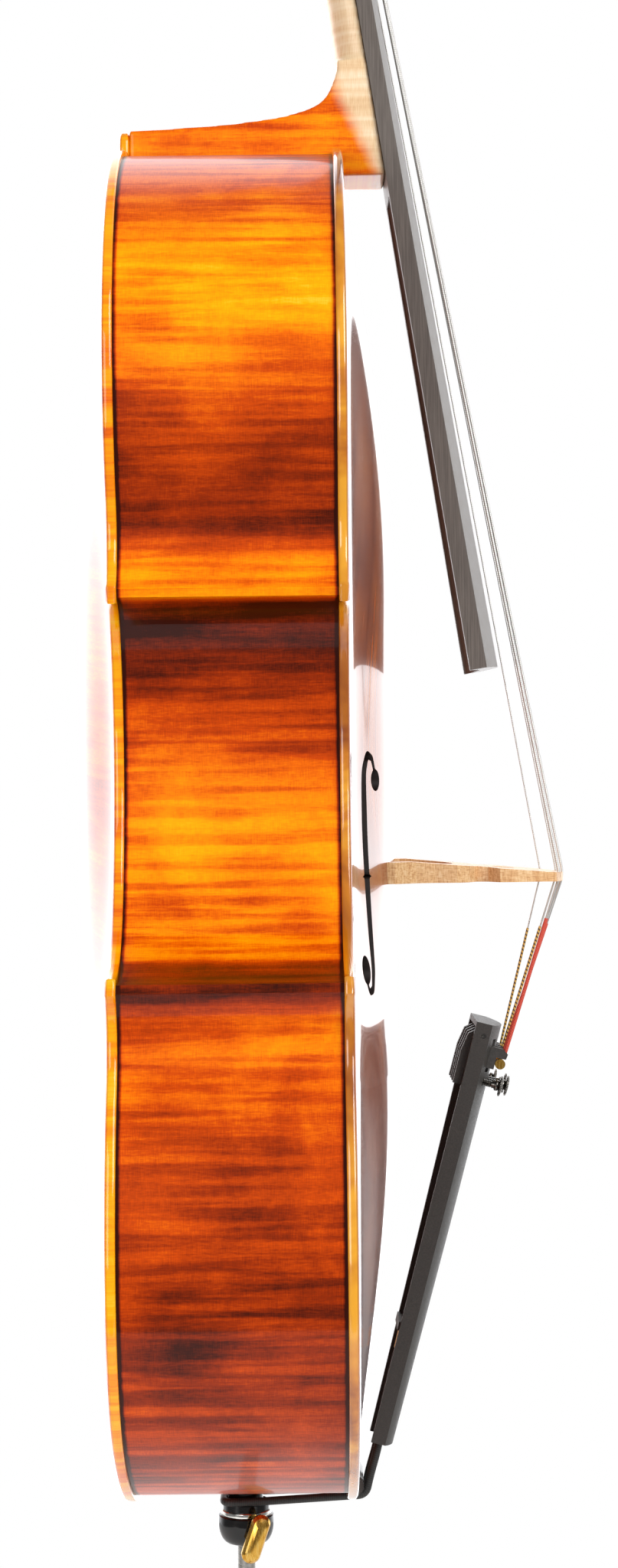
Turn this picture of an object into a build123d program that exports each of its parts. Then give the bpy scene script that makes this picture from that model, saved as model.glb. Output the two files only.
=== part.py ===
from build123d import *
from math import cos, pi, radians, sin, sqrt, tan
import os

os.makedirs("parts", exist_ok=True)

# A full-size cello standing on its extended endpin. +Z runs up the instrument, the strings
# face -Y, the bass side is -X, and the endpin's tip is the origin. All in millimetres.

# Body
body_bottom = 290  # lower edge of the plates above the endpin's tip
body_length = 757
lower_half, waist_half, upper_half = 219, 115, 171  # half widths of the three bouts
lower_height, waist_height, upper_height = 155, 412, 617  # where they are, above the lower edge
rib_half = 57  # the ribs run from -57 to 57
rib_thick = 1.6
overhang = 3.5  # plate edge beyond the ribs
edge_thick = 5.5
arch_height = 26
arch_margin = 9  # flat border outside the arching
arch_rise = 250  # length over which the arching climbs from each end
inner_drop, inner_scale = 0.8, 1.07  # the hollow follows the arching, and stops short of the border
lining_wide, lining_tall = 2.8, 16
purfling_inset, purfling_wide, purfling_deep = 4.5, 1.3, 1.5

# Neck and fingerboard
neck_angle = 8.9
board_foot = 85  # the fingerboard's underside in front of the mid-plane, at the body's upper edge
heel_depth = 15.5  # heel below the body's upper edge
nut_at = 281  # nut above the body's upper edge, along the neck
board_length = 580
board_nut_half, board_end_half = 16, 31
board_radius = 62

# Strings: name, x and height in front of the mid-plane at the bridge, radius, peg place
bridge_height = 346  # bridge above the body's lower edge
strings = {
    "c": dict(x=-23.5, out=180.6, radius=0.85, nut_x=-11, peg=(308, 15), side=-1),
    "g": dict(x=-7.9, out=184.0, radius=0.7, nut_x=-3.7, peg=(361, 22), side=-1),
    "d": dict(x=7.9, out=181.8, radius=0.55, nut_x=3.7, peg=(388, 25), side=1),
    "a": dict(x=23.5, out=174.0, radius=0.45, nut_x=11, peg=(333, 18), side=1),
}
peg_radius, peg_clearance = 6.5, 0.05
winding_radius, winding_shift = 8.2, 0.6

# Tailpiece
tail_top = 265  # upper end of the tailpiece above the body's lower edge
tail_out = 133
tail_angle = 14.5
tail_length = 246
tail_stations = ((0, 29, 9, 16), (120, 20.5, 8.5, 15), (tail_length, 15, 8, 13))
tail_wall = 3
tuner_spacing = 12.5
lever_thick = 5
pivot_at = (7, 5.6)
screw_at = 33

# Endpin
rod_radius, rod_length = 5, 480
plug_radius = 12
bowl_low = 33  # the endpin socket hangs this far below the body's lower edge
clamp_height = 25

body_top = body_bottom + body_length
front = Plane(origin=(0, 0, body_bottom), x_dir=(1, 0, 0), z_dir=(0, -1, 0))


def place(z, y, x=0):
    """A point from its height above the body's lower edge and its distance from the mid-plane."""
    return Vector(x, y, body_bottom + z)


def finish(part, label):
    part.part.label = label
    export_step(part.part, f"parts/{label}.step")


# ---------------------------------------------------------------- outline and arching
def half_outline():
    """The right half of the plates' outline: two bouts, the waist and two blunt corners."""
    low = JernArc((0, 0), (1, 0), 285, 36)
    low_side = JernArc(low @ 1, low % 1, 124.5, 54)
    low_in = JernArc(low_side @ 1, low_side % 1, 190, 30)
    low_hook = TangentArc(low_in @ 1, (197.5, 294), tangent=low_in % 1)
    low_corner = Line(low_hook @ 1, (194.1, 302.3))
    up = JernArc((0, body_length), (1, 0), 208, -33)
    up_side = JernArc(up @ 1, up % 1, 127, -57)
    up_in = JernArc(up_side @ 1, up_side % 1, 165, -26)
    up_hook = TangentArc(up_in @ 1, (161, 500), tangent=up_in % 1)
    up_corner = Line(up_hook @ 1, (158, 491.5))
    waist_up = JernArc((waist_half, waist_height), (0, 1), 130, -30)
    TangentArc(waist_up @ 1, up_corner @ 1, tangent=waist_up % 1)
    waist_down = JernArc((waist_half, waist_height), (0, -1), 150, 30)
    TangentArc(waist_down @ 1, low_corner @ 1, tangent=waist_down % 1)


def body_area(inset, hole_inset=None):
    """The body's outline, moved in from the plates' edge; a second inset leaves only a ring."""
    with BuildSketch() as area:
        with BuildLine():
            half_outline()
            mirror(about=Plane.YZ)
        make_face()
        if inset:
            offset(amount=-inset, kind=Kind.INTERSECTION)
        if hole_inset is not None:
            add(body_area(hole_inset), mode=Mode.SUBTRACT)
    return area.sketch_local


def slab(area, back, thick):
    """A flat piece cut to an area of the body's plan, from `back` behind to `thick` in front."""
    return extrude(front.offset(back) * area, amount=thick, dir=(0, -1, 0), mode=Mode.PRIVATE)


def arching_half_width(z):
    """Half the width of the arched area, a smooth line inside the corners."""
    if z < lower_height:
        part = max(0.0, (lower_height - z) / lower_height)
        wide = lower_half * max(0.0, 1 - part**2.3) ** (1 / 2.3)
    elif z < waist_height:
        blend = (1 - cos(pi * (z - lower_height) / (waist_height - lower_height))) / 2
        wide = lower_half + (waist_half - lower_half) * blend
    elif z < upper_height:
        blend = (1 - cos(pi * (z - waist_height) / (upper_height - waist_height))) / 2
        wide = waist_half + (upper_half - waist_half) * blend
    else:
        part = (z - upper_height) / (body_length - upper_height)
        wide = upper_half * max(0.0, 1 - min(1.0, part) ** 2.3) ** (1 / 2.3)
    return max(1.0, wide - arch_margin)


def arching(x, z):
    """Height of the arching above the flat edge."""
    ends = 1.0
    for way in (z - arch_margin, body_length - arch_margin - z):
        ends *= (1 - cos(pi * min(1.0, max(0.0, way) / arch_rise) ** 0.75)) / 2
    across = min(1.0, abs(x) / arching_half_width(z))
    return arch_height * ends * (1 + cos(pi * across**1.25)) / 2


def arched_face(base, scale, side):
    """The arched surface; side is -1 for the top plate and 1 for the back."""
    columns = [-235 + 470 * i / 44 for i in range(45)]
    rows = [-12 + (body_length + 34) * j / 66 for j in range(67)]
    grid = [[place(z, side * (base + scale * arching(x, z)), x) for x in columns] for z in rows]
    return Face.make_surface_from_array_of_points(grid, tol=0.02)


arch_outer, arch_inner = {}, {}
for side in (-1, 1):
    outer = arched_face(rib_half + edge_thick, 1, side)
    arch_outer[side] = extrude(outer, amount=200, dir=(0, -side, 0))
    inner = arched_face(rib_half - inner_drop, inner_scale, side)
    arch_inner[side] = extrude(inner, amount=200, dir=(0, -side, 0))


# ---------------------------------------------------------------- plates
eye_upper, eye_lower = (58, 400), (104, 299)
eye_upper_radius, eye_lower_radius = 6, 7.8
stem = (  # centre of the f-hole's stem and its half width there
    (58.5, 404, 1.4), (62, 412, 1.8), (68.5, 414, 2.4), (73.5, 405, 3.2), (75.5, 384, 3.9),
    (81, 349, 4.1), (87.5, 316, 3.9), (90.5, 298, 3.2), (95.5, 288, 2.4), (102.5, 287, 1.8),
    (106.5, 295, 1.4),
)


def f_holes():
    """Both f-holes: two eyes, a curved stem and its nicks."""
    sides = {1: [], -1: []}
    for i, (x, z, half) in enumerate(stem):
        before, after = stem[max(0, i - 1)], stem[min(len(stem) - 1, i + 1)]
        run_x, run_z = after[0] - before[0], after[1] - before[1]
        length = sqrt(run_x**2 + run_z**2)
        for way in sides:
            sides[way].append((x - way * half * run_z / length, z + way * half * run_x / length))
    with BuildSketch() as holes:
        with BuildLine():
            left = Spline(sides[1])
            right = Spline(sides[-1])
            Line(left @ 0, right @ 0)
            Line(left @ 1, right @ 1)
        make_face()
        with Locations(eye_upper):
            Circle(eye_upper_radius)
        with Locations(eye_lower):
            Circle(eye_lower_radius)
        with Locations((81, 348)):
            Polygon((-7.5, 0), (0, 2), (7.5, 0), (0, -2))
        mirror(about=Plane.YZ)
    return holes.sketch_local


heel_half_front, heel_half_back = 21, 15


def heel_plan():
    """The heel seen from above, tapering from the fingerboard to the button."""
    Polygon(
        (-heel_half_back, rib_half), (heel_half_back, rib_half),
        (heel_half_front, -board_foot - 3), (-heel_half_front, -board_foot - 3), align=None,
    )


with BuildPart() as heel_space:
    with BuildSketch(Plane.XY.offset(body_top - heel_depth)):
        heel_plan()
    extrude(amount=heel_depth + 20)

saddle_half, saddle_high, saddle_out = 20, 8.5, 66.9
with BuildPart() as saddle_space:
    with Locations(place(saddle_high / 2 - 2, -rib_half - 10)):
        Box(2 * saddle_half, 20, saddle_high + 4)


hollow_low, hollow_high, hollow_share = 75, 690, 0.8


def hollow_area():
    """The part of the plates that is hollowed: a share of the arched width."""
    steps = 12
    heights = [hollow_low + (hollow_high - hollow_low) * i / steps for i in range(steps + 1)]
    edge = [(hollow_share * arching_half_width(z), z) for z in heights]
    with BuildSketch() as area:
        with BuildLine():
            Spline(edge)
            Spline([(-x, z) for x, z in edge])
            Line(edge[0], (-edge[0][0], edge[0][1]))
            Line(edge[-1], (-edge[-1][0], edge[-1][1]))
        make_face()
    return area.sketch_local


def plate_hollow(side):
    """The room under one plate's arching, inside a flat border."""
    low = rib_half - 2 if side == -1 else -rib_half - arch_height - 8
    with BuildPart() as hollow:
        add(slab(hollow_area(), low, arch_height + 10))
        add(arch_inner[side], mode=Mode.INTERSECT)
    return hollow.part


inside_space = {side: plate_hollow(side) for side in (-1, 1)}
purfling_area = body_area(purfling_inset, purfling_inset + purfling_wide)
plate_front = rib_half + edge_thick

with BuildPart() as top_plate:
    add(slab(body_area(0), rib_half, edge_thick + arch_height + 2))
    add(arch_outer[-1], mode=Mode.INTERSECT)
    add(inside_space[-1], mode=Mode.SUBTRACT)
    add(slab(f_holes(), rib_half - 5, 60), mode=Mode.SUBTRACT)
    add(slab(purfling_area, plate_front - purfling_deep, 10), mode=Mode.SUBTRACT)
    add(heel_space.part, mode=Mode.SUBTRACT)
    add(saddle_space.part, mode=Mode.SUBTRACT)
finish(top_plate, "top_plate")

button_radius, button_center = 15, body_length - 3
with BuildSketch() as back_area:
    add(body_area(0))
    with Locations((0, button_center)):
        Circle(button_radius)
with BuildPart() as back_plate:
    add(slab(back_area.sketch_local, -rib_half - edge_thick - arch_height - 2,
             edge_thick + arch_height + 2))
    add(arch_outer[1], mode=Mode.INTERSECT)
    add(inside_space[1], mode=Mode.SUBTRACT)
    add(slab(purfling_area, -plate_front - 10 + purfling_deep, 10), mode=Mode.SUBTRACT)
finish(back_plate, "back_plate")

# The purfling fills both grooves, and stops at the heel and the saddle on the top.
for level, label in (
    (plate_front - purfling_deep, "top_purfling"), (-plate_front, "back_purfling")
):
    with BuildPart() as purfling:
        add(slab(purfling_area, level, purfling_deep))
        if label == "top_purfling":
            add(heel_space.part, mode=Mode.SUBTRACT)
            add(saddle_space.part, mode=Mode.SUBTRACT)
    finish(purfling, label)


# ---------------------------------------------------------------- ribs, blocks and linings
rib_inset = overhang + rib_thick
waist_areas = (  # centre and size of the areas that hold the waist ribs, on the right
    ((126, 445), (52, 105)),
    ((144, 343), (88, 100)),
)


with BuildSketch() as waist_mask:
    for center, size in waist_areas:
        with Locations(center):
            Rectangle(*size)
    mirror(about=Plane.YZ)

with BuildPart() as plug_space:
    with Locations(place(0, 0)):
        Cylinder(plug_radius, 120)

rib_levels = {"upper": (395, body_length), "middle": (285, 500), "lower": (0, 393)}
for level, (low, high) in rib_levels.items():
    for side, name in ((-1, "bass"), (1, "treble")):
        with BuildSketch() as strip:
            add(body_area(overhang, rib_inset))
            with Locations((side * 120, (low + high) / 2)):
                Rectangle(240, high - low, mode=Mode.INTERSECT)
            waist_mode = Mode.INTERSECT if level == "middle" else Mode.SUBTRACT
            add(waist_mask.sketch_local, mode=waist_mode)
        with BuildPart() as rib:
            add(slab(strip.sketch_local, -rib_half, 2 * rib_half))
            add(heel_space.part, mode=Mode.SUBTRACT)
            add(plug_space.part, mode=Mode.SUBTRACT)
        finish(rib, f"{level}_{name}_rib")

block_areas = {  # centre and radius of the circles that the four corner blocks fill
    "upper_bass": ((-161, 500), 36), "upper_treble": ((161, 500), 36),
    "lower_bass": ((-197, 298), 44), "lower_treble": ((197, 298), 44),
}
for label, (center, radius) in block_areas.items():
    with BuildSketch() as block_area:
        add(body_area(rib_inset))
        with Locations(center):
            Circle(radius, mode=Mode.INTERSECT)
    with BuildPart() as block:
        add(slab(block_area.sketch_local, -rib_half, 2 * rib_half))
    finish(block, f"{label}_corner_block")

neck_block_half, neck_block_tall = 46, 48
with BuildSketch() as neck_block_area:
    add(body_area(rib_inset))
    with Locations((0, body_length)):
        Rectangle(2 * neck_block_half, 2 * neck_block_tall, mode=Mode.INTERSECT)
with BuildPart() as neck_block:
    add(slab(neck_block_area.sketch_local, -rib_half, 2 * rib_half))
    add(heel_space.part, mode=Mode.SUBTRACT)
finish(neck_block, "neck_block")

end_block_half, end_block_tall = 40, 44
with BuildSketch() as end_block_area:
    add(body_area(rib_inset))
    Rectangle(2 * end_block_half, 2 * end_block_tall, mode=Mode.INTERSECT)
with BuildPart() as end_block:
    add(slab(end_block_area.sketch_local, -rib_half, 2 * rib_half))
    add(plug_space.part, mode=Mode.SUBTRACT)
finish(end_block, "end_block")

# Linings: a strip along both edges of every rib, between the blocks.
with BuildSketch() as lining_ring:
    add(body_area(rib_inset, rib_inset + lining_wide))
    for center, radius in block_areas.values():
        with Locations(center):
            Circle(radius, mode=Mode.SUBTRACT)
    with Locations((0, body_length)):
        Rectangle(2 * neck_block_half, 2 * neck_block_tall, mode=Mode.SUBTRACT)
    Rectangle(2 * end_block_half, 2 * end_block_tall, mode=Mode.SUBTRACT)
for label, start in (("back_linings", -rib_half), ("top_linings", rib_half - lining_tall)):
    with BuildPart() as linings:
        add(slab(lining_ring.sketch_local, start, lining_tall))
    finish(linings, label)

# The bass bar runs under the bridge's bass foot; the sound post stands below its treble foot.
bar_x, bar_half_wide, bar_low, bar_high = -34, 5.5, 90, 665
with BuildPart() as bass_bar:
    with Locations(place((bar_low + bar_high) / 2, -rib_half - arch_height / 2, bar_x)):
        Box(2 * bar_half_wide, arch_height + 2, bar_high - bar_low)
    add(inside_space[-1], mode=Mode.INTERSECT)
finish(bass_bar, "bass_bar")

post_x, post_z, post_radius = 34, 326, 5.5
with BuildPart() as sound_post:
    with Locations(Location(place(post_z, 0, post_x), (90, 0, 0))):
        Cylinder(post_radius, 2 * rib_half + 80)
    add(arch_inner[-1], mode=Mode.INTERSECT)
    add(arch_inner[1], mode=Mode.INTERSECT)
finish(sound_post, "sound_post")

with BuildPart() as saddle:
    with BuildSketch(Plane.YZ.offset(-saddle_half)):
        with BuildLine():
            Polyline(
                (-rib_half, body_bottom - 1.5), (-rib_half, body_bottom + saddle_high),
                (-saddle_out + 2, body_bottom + saddle_high),
                (-saddle_out, body_bottom + saddle_high - 4), (-saddle_out, body_bottom + 1.5),
                (-saddle_out + 3, body_bottom - 1.5), close=True,
            )
        make_face()
    extrude(amount=2 * saddle_half)
finish(saddle, "saddle")


# ---------------------------------------------------------------- neck, fingerboard and pegs
tilt = radians(neck_angle)
neck_foot = Vector(0, -board_foot, body_top)
neck_up = Vector(0, sin(tilt), cos(tilt))
neck_base = Plane(origin=neck_foot, x_dir=(1, 0, 0), z_dir=neck_up)  # y runs to the back
neck_side = Plane(origin=neck_foot, x_dir=neck_up, z_dir=(-1, 0, 0))  # x up the neck, y back


def on_neck(up, back, x=0):
    return neck_base.from_local_coords(Vector(x, back, up))


def heel_outline():
    """The heel from the side: under the board, down inside the body, and up its curved back."""
    low = body_top - heel_depth
    curve = Spline(
        (rib_half, body_top + 11.9), (-7, body_top + 15.4), (-24, body_top + 17.5),
        (-42, body_top + 21.5), (-53, body_top + 27.5), (-58.4, body_top + 37),
        (-60.6, body_top + 50), tangents=((-1, 0.05), (-tan(tilt) * -1, 1)),
    )
    Polyline(
        curve @ 1, (-board_foot + 50 * tan(tilt), body_top + 50),
        (-board_foot - heel_depth * tan(tilt), low), (rib_half, low), curve @ 0,
    )


neck_sections = ((38, 20.0, 17.2), (100, 18.6, 16.2), (276, 16.0, 16.2))
head_tip, cavity_half = 484, 12
pegbox_front = ((nut_at + 4, -6), (345, -2), (392, 8), (418, 17))
pegbox_back = ((452, 54), (420, 52), (395, 50), (345, 44), (302, 34), (286, 24), (274, 16.2))
pegbox_halves = ((274, 16), (nut_at + 3, 21.5), (418, 16.5), (head_tip, 10))
volute = ((31, 10, 452, 24), (24.5, 14.5, 453, 22), (18, 19, 451, 21), (11.5, 24, 452, 23), (7, 29, 452, 23))

with BuildPart() as heel:
    with BuildSketch(Plane.YZ.offset(-25)):
        with BuildLine():
            heel_outline()
        make_face()
    extrude(amount=50)
    with BuildSketch(Plane.XY.offset(body_top - heel_depth)):
        heel_plan()
    extrude(amount=heel_depth + 60, mode=Mode.INTERSECT)

with BuildPart() as handle:
    for up, half, deep in neck_sections:
        with BuildSketch(neck_base.offset(up)):
            Ellipse(half, deep)
            with Locations((0, -deep)):
                Rectangle(4 * half, 2 * deep, mode=Mode.SUBTRACT)
    loft()

with BuildPart() as pegbox:
    with BuildSketch(neck_side.offset(-25)):
        with BuildLine():
            nut_seat = Polyline((274, 0), (nut_at + 4, 0), pegbox_front[0])
            face_line = Spline(pegbox_front)
            Line(face_line @ 1, pegbox_back[0])
            back_line = Spline(pegbox_back)
            Line(back_line @ 1, nut_seat @ 0)
        make_face()
    extrude(amount=50)
    with BuildSketch(Plane(origin=on_neck(0, -30), x_dir=(1, 0, 0), z_dir=neck_side.y_dir)):
        with BuildLine():
            left = [(-half, -up) for up, half in pegbox_halves]
            right = [(half, -up) for up, half in reversed(pegbox_halves)]
            Polyline(*left, *right, close=True)
        make_face()
    extrude(amount=120, mode=Mode.INTERSECT)

with BuildPart() as neck:
    add(heel.part)
    add(handle.part)
    add(pegbox.part)
    for radius, half, up, back in volute:
        with BuildSketch(neck_side.offset(-half)):
            with Locations((up, back)):
                Circle(radius)
        extrude(amount=2 * half)
    with BuildSketch(neck_side.offset(-cavity_half)):
        with BuildLine():
            Polyline(
                (nut_at + 4, -20), (nut_at + 4, 2), (291, 18), (300, 26), (345, 36), (405, 42),
                (412, 30), (412, -20), close=True,
            )
        make_face()
    extrude(amount=2 * cavity_half, mode=Mode.SUBTRACT)
    for string in strings.values():
        with BuildSketch(neck_side.offset(-30)):
            with Locations(string["peg"]):
                Circle(peg_radius + peg_clearance)
        extrude(amount=60, mode=Mode.SUBTRACT)
finish(neck, "neck")


def board_section(up, half, edge):
    """The fingerboard's section: flat below, round on top, flat under the lowest string."""
    crown = edge + board_radius - sqrt(board_radius**2 - half**2)
    ridge = -0.36 * half
    ridge_out = crown - board_radius + sqrt(board_radius**2 - ridge**2)
    middle = half * 0.35
    middle_out = crown - board_radius + sqrt(board_radius**2 - middle**2)
    with BuildSketch(neck_base.offset(up)) as section:
        with BuildLine():
            Polyline((-half, -edge), (-half, 0), (half, 0), (half, -edge))
            ThreePointArc((half, -edge), (middle, -middle_out), (ridge, -ridge_out))
            Line((ridge, -ridge_out), (-half, -edge))
        make_face()
    return section.sketch


board_low = nut_at - board_length
edge_nut, edge_end = 8, 9.5
with BuildPart() as fingerboard:
    loft(sections=[
        board_section(nut_at, board_nut_half, edge_nut),
        board_section(board_low, board_end_half, edge_end),
    ], ruled=True)
    with BuildSketch(neck_base.offset(board_low - 1)) as scoop_end:
        Ellipse(board_end_half - 5, 7)
    with BuildSketch(neck_base.offset(-heel_depth - 12)) as scoop_start:
        Ellipse(board_end_half - 14, 3)
    loft(sections=[scoop_end.sketch, scoop_start.sketch], ruled=True, mode=Mode.SUBTRACT)
finish(fingerboard, "fingerboard")


def route(name):
    """A string's path: peg, nut, bridge, and its ball at the tailpiece."""
    string = strings[name]
    x, nut_x, (peg_up, peg_back) = string["x"], string["nut_x"], string["peg"]
    crown = edge_nut + board_radius - sqrt(board_radius**2 - board_nut_half**2)
    nut_out = crown - board_radius + sqrt(board_radius**2 - nut_x**2) + 1.2
    return (
        on_neck(peg_up - 3, peg_back - winding_radius - 1.6, nut_x * winding_shift),
        on_neck(nut_at + 2.2, -nut_out, nut_x),
        place(bridge_height, -string["out"], x),
        on_tail(hook_at, -hook_out, tail_x(name)),
    )


# ---------------------------------------------------------------- tailpiece frame
slope = radians(tail_angle)
tail_foot = place(tail_top, -tail_out)
tail_down = Vector(0, sin(slope), -cos(slope))
tail_base = Plane(origin=tail_foot, x_dir=(1, 0, 0), z_dir=-tail_down)  # y runs to the back
tail_side = Plane(origin=tail_foot, x_dir=tail_down, z_dir=(1, 0, 0))  # x down, y to the back
hook_at, hook_out = 17.2, 20.2  # where a string ends, just short of its ball


def on_tail(down, back, x=0):
    return tail_base.from_local_coords(Vector(x, back, -down))


def tail_x(name):
    return tuner_spacing * (list(strings).index(name) - 1.5)


def string_path(name, radius):
    path = FilletPolyline(*route(name), radius=6, mode=Mode.PRIVATE)
    with BuildPart() as cord:
        with BuildSketch(Plane(origin=path @ 0, z_dir=path % 0)):
            Circle(radius)
        sweep(path=path)
    return cord.part


for name in strings:
    strings[name]["part"] = string_path(name, strings[name]["radius"])
    strings[name]["groove"] = string_path(name, strings[name]["radius"] + 0.03)
    with BuildPart() as string:
        add(strings[name]["part"])
    finish(string, f"string_{name}")

with BuildPart() as nut:
    crown = edge_nut + board_radius - sqrt(board_radius**2 - board_nut_half**2) + 1.6
    with BuildSketch(neck_base.offset(nut_at)):
        with BuildLine():
            Polyline((-board_nut_half, -edge_nut - 1), (-board_nut_half, 0), (board_nut_half, 0),
                     (board_nut_half, -edge_nut - 1))
            ThreePointArc((board_nut_half, -edge_nut - 1), (0, -crown),
                          (-board_nut_half, -edge_nut - 1))
        make_face()
    extrude(amount=4)
    for string in strings.values():
        add(string["groove"], mode=Mode.SUBTRACT)
finish(nut, "nut")

peg_head = 31
for name, string in strings.items():
    side = string["side"]
    up, back = string["peg"]
    wall = 21.5 - 5 * (up - nut_at) / (418 - nut_at)
    axis = Plane(origin=on_neck(up, back), x_dir=neck_up, z_dir=(side, 0, 0))
    with BuildPart() as peg:
        with BuildSketch(axis.offset(-wall)):
            Circle(peg_radius)
        extrude(amount=2 * wall + 6)
        with BuildSketch(axis.offset(wall + 5)):
            Circle(9)
        extrude(amount=4)
        with BuildSketch(axis.offset(wall + 9)):
            Circle(6)
        extrude(amount=8)
        with BuildSketch(Plane(origin=axis.from_local_coords((0, -5, wall + 14 + peg_head / 2)),
                               x_dir=(side, 0, 0), z_dir=axis.y_dir)):
            Ellipse(peg_head / 2, 14)
        extrude(amount=10)
    finish(peg, f"peg_{name}")
    with BuildPart() as winding:
        with BuildSketch(axis.offset(side * string["nut_x"] * winding_shift - 4)):
            Circle(winding_radius)
            Circle(peg_radius, mode=Mode.SUBTRACT)
        extrude(amount=8)
    finish(winding, f"string_winding_{name}")


# ---------------------------------------------------------------- bridge
bridge_thick, bridge_top_thick = 12, 3.2
bridge_half = (  # right half of the bridge: distance from the middle, height above the crown
    (24, -6), (46, -10), (46, -1), (41, 4), (36, 11), (33.5, 22), (35, 34), (31, 41), (21, 46),
    (23, 52), (34, 58), (34.5, 66), (31, 78),
)
crown_out = plate_front + arch_height
arch_points = ((24, -6), (27.5, 4), (25, 17), (17, 28), (0, 33))
with BuildSketch() as bridge_face:
    with BuildLine():
        Polyline(*bridge_half)
        top_edge = [(31, 176.4 - crown_out - 5.2 + 0.4), (0, 183.6 - crown_out), (-31, 183.2 - crown_out - 5)]
        Line(bridge_half[-1], top_edge[0])
        ThreePointArc(*top_edge)
        Line(top_edge[-1], (-bridge_half[-1][0], bridge_half[-1][1]))
        Polyline(*[(-x, h) for x, h in bridge_half])
        Spline(arch_points)
        Spline([(-x, h) for x, h in arch_points])
    make_face()
    with Locations((0, 62)):
        Ellipse(7, 6.5, mode=Mode.SUBTRACT)
with BuildPart() as bridge:
    level = Plane(origin=place(bridge_height - 3, -crown_out), x_dir=(1, 0, 0), z_dir=(0, 0, 1))
    extrude(mirror(bridge_face.sketch_local, about=Plane.XZ, mode=Mode.PRIVATE).moved(level.location),
            amount=bridge_thick)
    with BuildSketch(Plane.YZ.offset(-60)):
        with BuildLine():
            Polyline(
                (-crown_out - 8, body_bottom + bridge_height - 3 + bridge_thick),
                (-200, body_bottom + bridge_height - 3 + bridge_top_thick),
                (-200, body_bottom + bridge_height + 20),
                (-crown_out - 8, body_bottom + bridge_height + 20), close=True,
            )
        make_face()
    extrude(amount=120, mode=Mode.SUBTRACT)
    add(arch_outer[-1], mode=Mode.SUBTRACT)
    for string in strings.values():
        add(string["groove"], mode=Mode.SUBTRACT)
finish(bridge, "bridge")


# ---------------------------------------------------------------- tailpiece and fine tuners
def tail_section(down, half, edge, crown, wall):
    """The tailpiece's section, or its hollow when a wall is given."""
    low = 1 if wall else 0
    half, edge, crown = half - wall, edge - wall, crown - wall
    with BuildSketch(tail_base.offset(-down)) as section:
        with BuildLine():
            Polyline((-half, -edge), (-half, low), (half, low), (half, -edge))
            ThreePointArc((half, -edge), (0, -crown), (-half, -edge))
        make_face()
    return section.sketch


def tail_half(down):
    """Half the tailpiece's width, its edge and its crown at a place along it."""
    for first, last in zip(tail_stations, tail_stations[1:]):
        if down <= last[0]:
            part = (down - first[0]) / (last[0] - first[0])
            return [a + (b - a) * part for a, b in zip(first[1:], last[1:])]


web_at, web_thick = 176, 5
gut_radius, gut_x = 2.3, 7.5
hollow_stations = [(down, *tail_half(down)) for down in (tail_wall, 120, tail_length)]
hollow_stations[-1] = (tail_length + 1, *tail_stations[-1][1:])
with BuildPart() as tail_hollow:
    loft(sections=[tail_section(*station, tail_wall) for station in hollow_stations], ruled=True)

with BuildPart() as tail_web:
    with BuildSketch(tail_base.offset(-web_at)):
        Rectangle(80, 60)
    extrude(amount=-web_thick)
    add(tail_hollow.part, mode=Mode.INTERSECT)
    with BuildSketch(tail_base.offset(-web_at + 1)):
        with Locations((-gut_x, -4), (gut_x, -4)):
            Circle(1.8)
    extrude(amount=-web_thick - 2, mode=Mode.SUBTRACT)

with BuildPart() as tailpiece:
    loft(sections=[tail_section(*station, 0) for station in tail_stations], ruled=True)
    add(tail_hollow.part, mode=Mode.SUBTRACT)
    add(tail_web.part)
    for name in strings:
        with BuildSketch(Plane(origin=on_tail(0, 0, tail_x(name)), x_dir=tail_down,
                               z_dir=-tail_base.y_dir)):
            with Locations((17.5, 0)):
                Rectangle(19, lever_thick + 1)
            with Locations((screw_at, 0)):
                Circle(2.05)
        extrude(amount=30, mode=Mode.SUBTRACT)
    with BuildSketch(tail_side.offset(-40)):
        with Locations((pivot_at[0], -pivot_at[1])):
            Circle(1.5)
    extrude(amount=80, mode=Mode.SUBTRACT)
finish(tailpiece, "tailpiece")

lever_outline = (  # down the tailpiece, back from its underside
    (3.6, -7.8), (3.6, -3), (8, 2.5), (18, 4.3), (37, 4.5), (37, 0), (28, 0), (24.5, -5), (24.5, -16),
    (17.6, -16), (17.6, -21.5), (14.5, -22), (12.2, -19), (12.2, -7.8),
)
ball_radius, ball_at, ball_out = 2.9, 20.8, 19
screw_heads = {"c": 23, "g": 27.5, "d": 27, "a": 22}
for name in strings:
    x = tail_x(name)
    with BuildPart() as lever:
        with BuildSketch(tail_side.offset(x - lever_thick / 2)):
            with BuildLine():
                Polyline(*lever_outline, close=True)
            make_face()
            with Locations((pivot_at[0], -pivot_at[1])):
                Circle(1.55, mode=Mode.SUBTRACT)
        extrude(amount=lever_thick)
        with BuildSketch(tail_base.offset(-11)):
            with Locations((x, -hook_out - 4)):
                Rectangle(2.8, 11)
        extrude(amount=-8, mode=Mode.SUBTRACT)
    finish(lever, f"tuner_lever_{name}")
    with BuildPart() as ball:
        with BuildSketch(tail_side.offset(x - 2.4)):
            with Locations((ball_at, -ball_out)):
                Circle(ball_radius)
        extrude(amount=4.8)
    finish(ball, f"string_ball_{name}")
    head = screw_heads[name]
    driver = Plane(origin=on_tail(screw_at, 0, x), x_dir=(1, 0, 0), z_dir=-tail_base.y_dir)
    with BuildPart() as screw:
        with BuildSketch(driver.offset(0.06)):
            Circle(2)
        extrude(amount=head - 4)
        with BuildSketch(driver.offset(head - 4)):
            Circle(3.2)
        extrude(amount=2.6)
        with BuildSketch(driver.offset(head - 1.6)):
            Circle(5.5)
        extrude(amount=1.6)
    finish(screw, f"tuner_screw_{name}")

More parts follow.
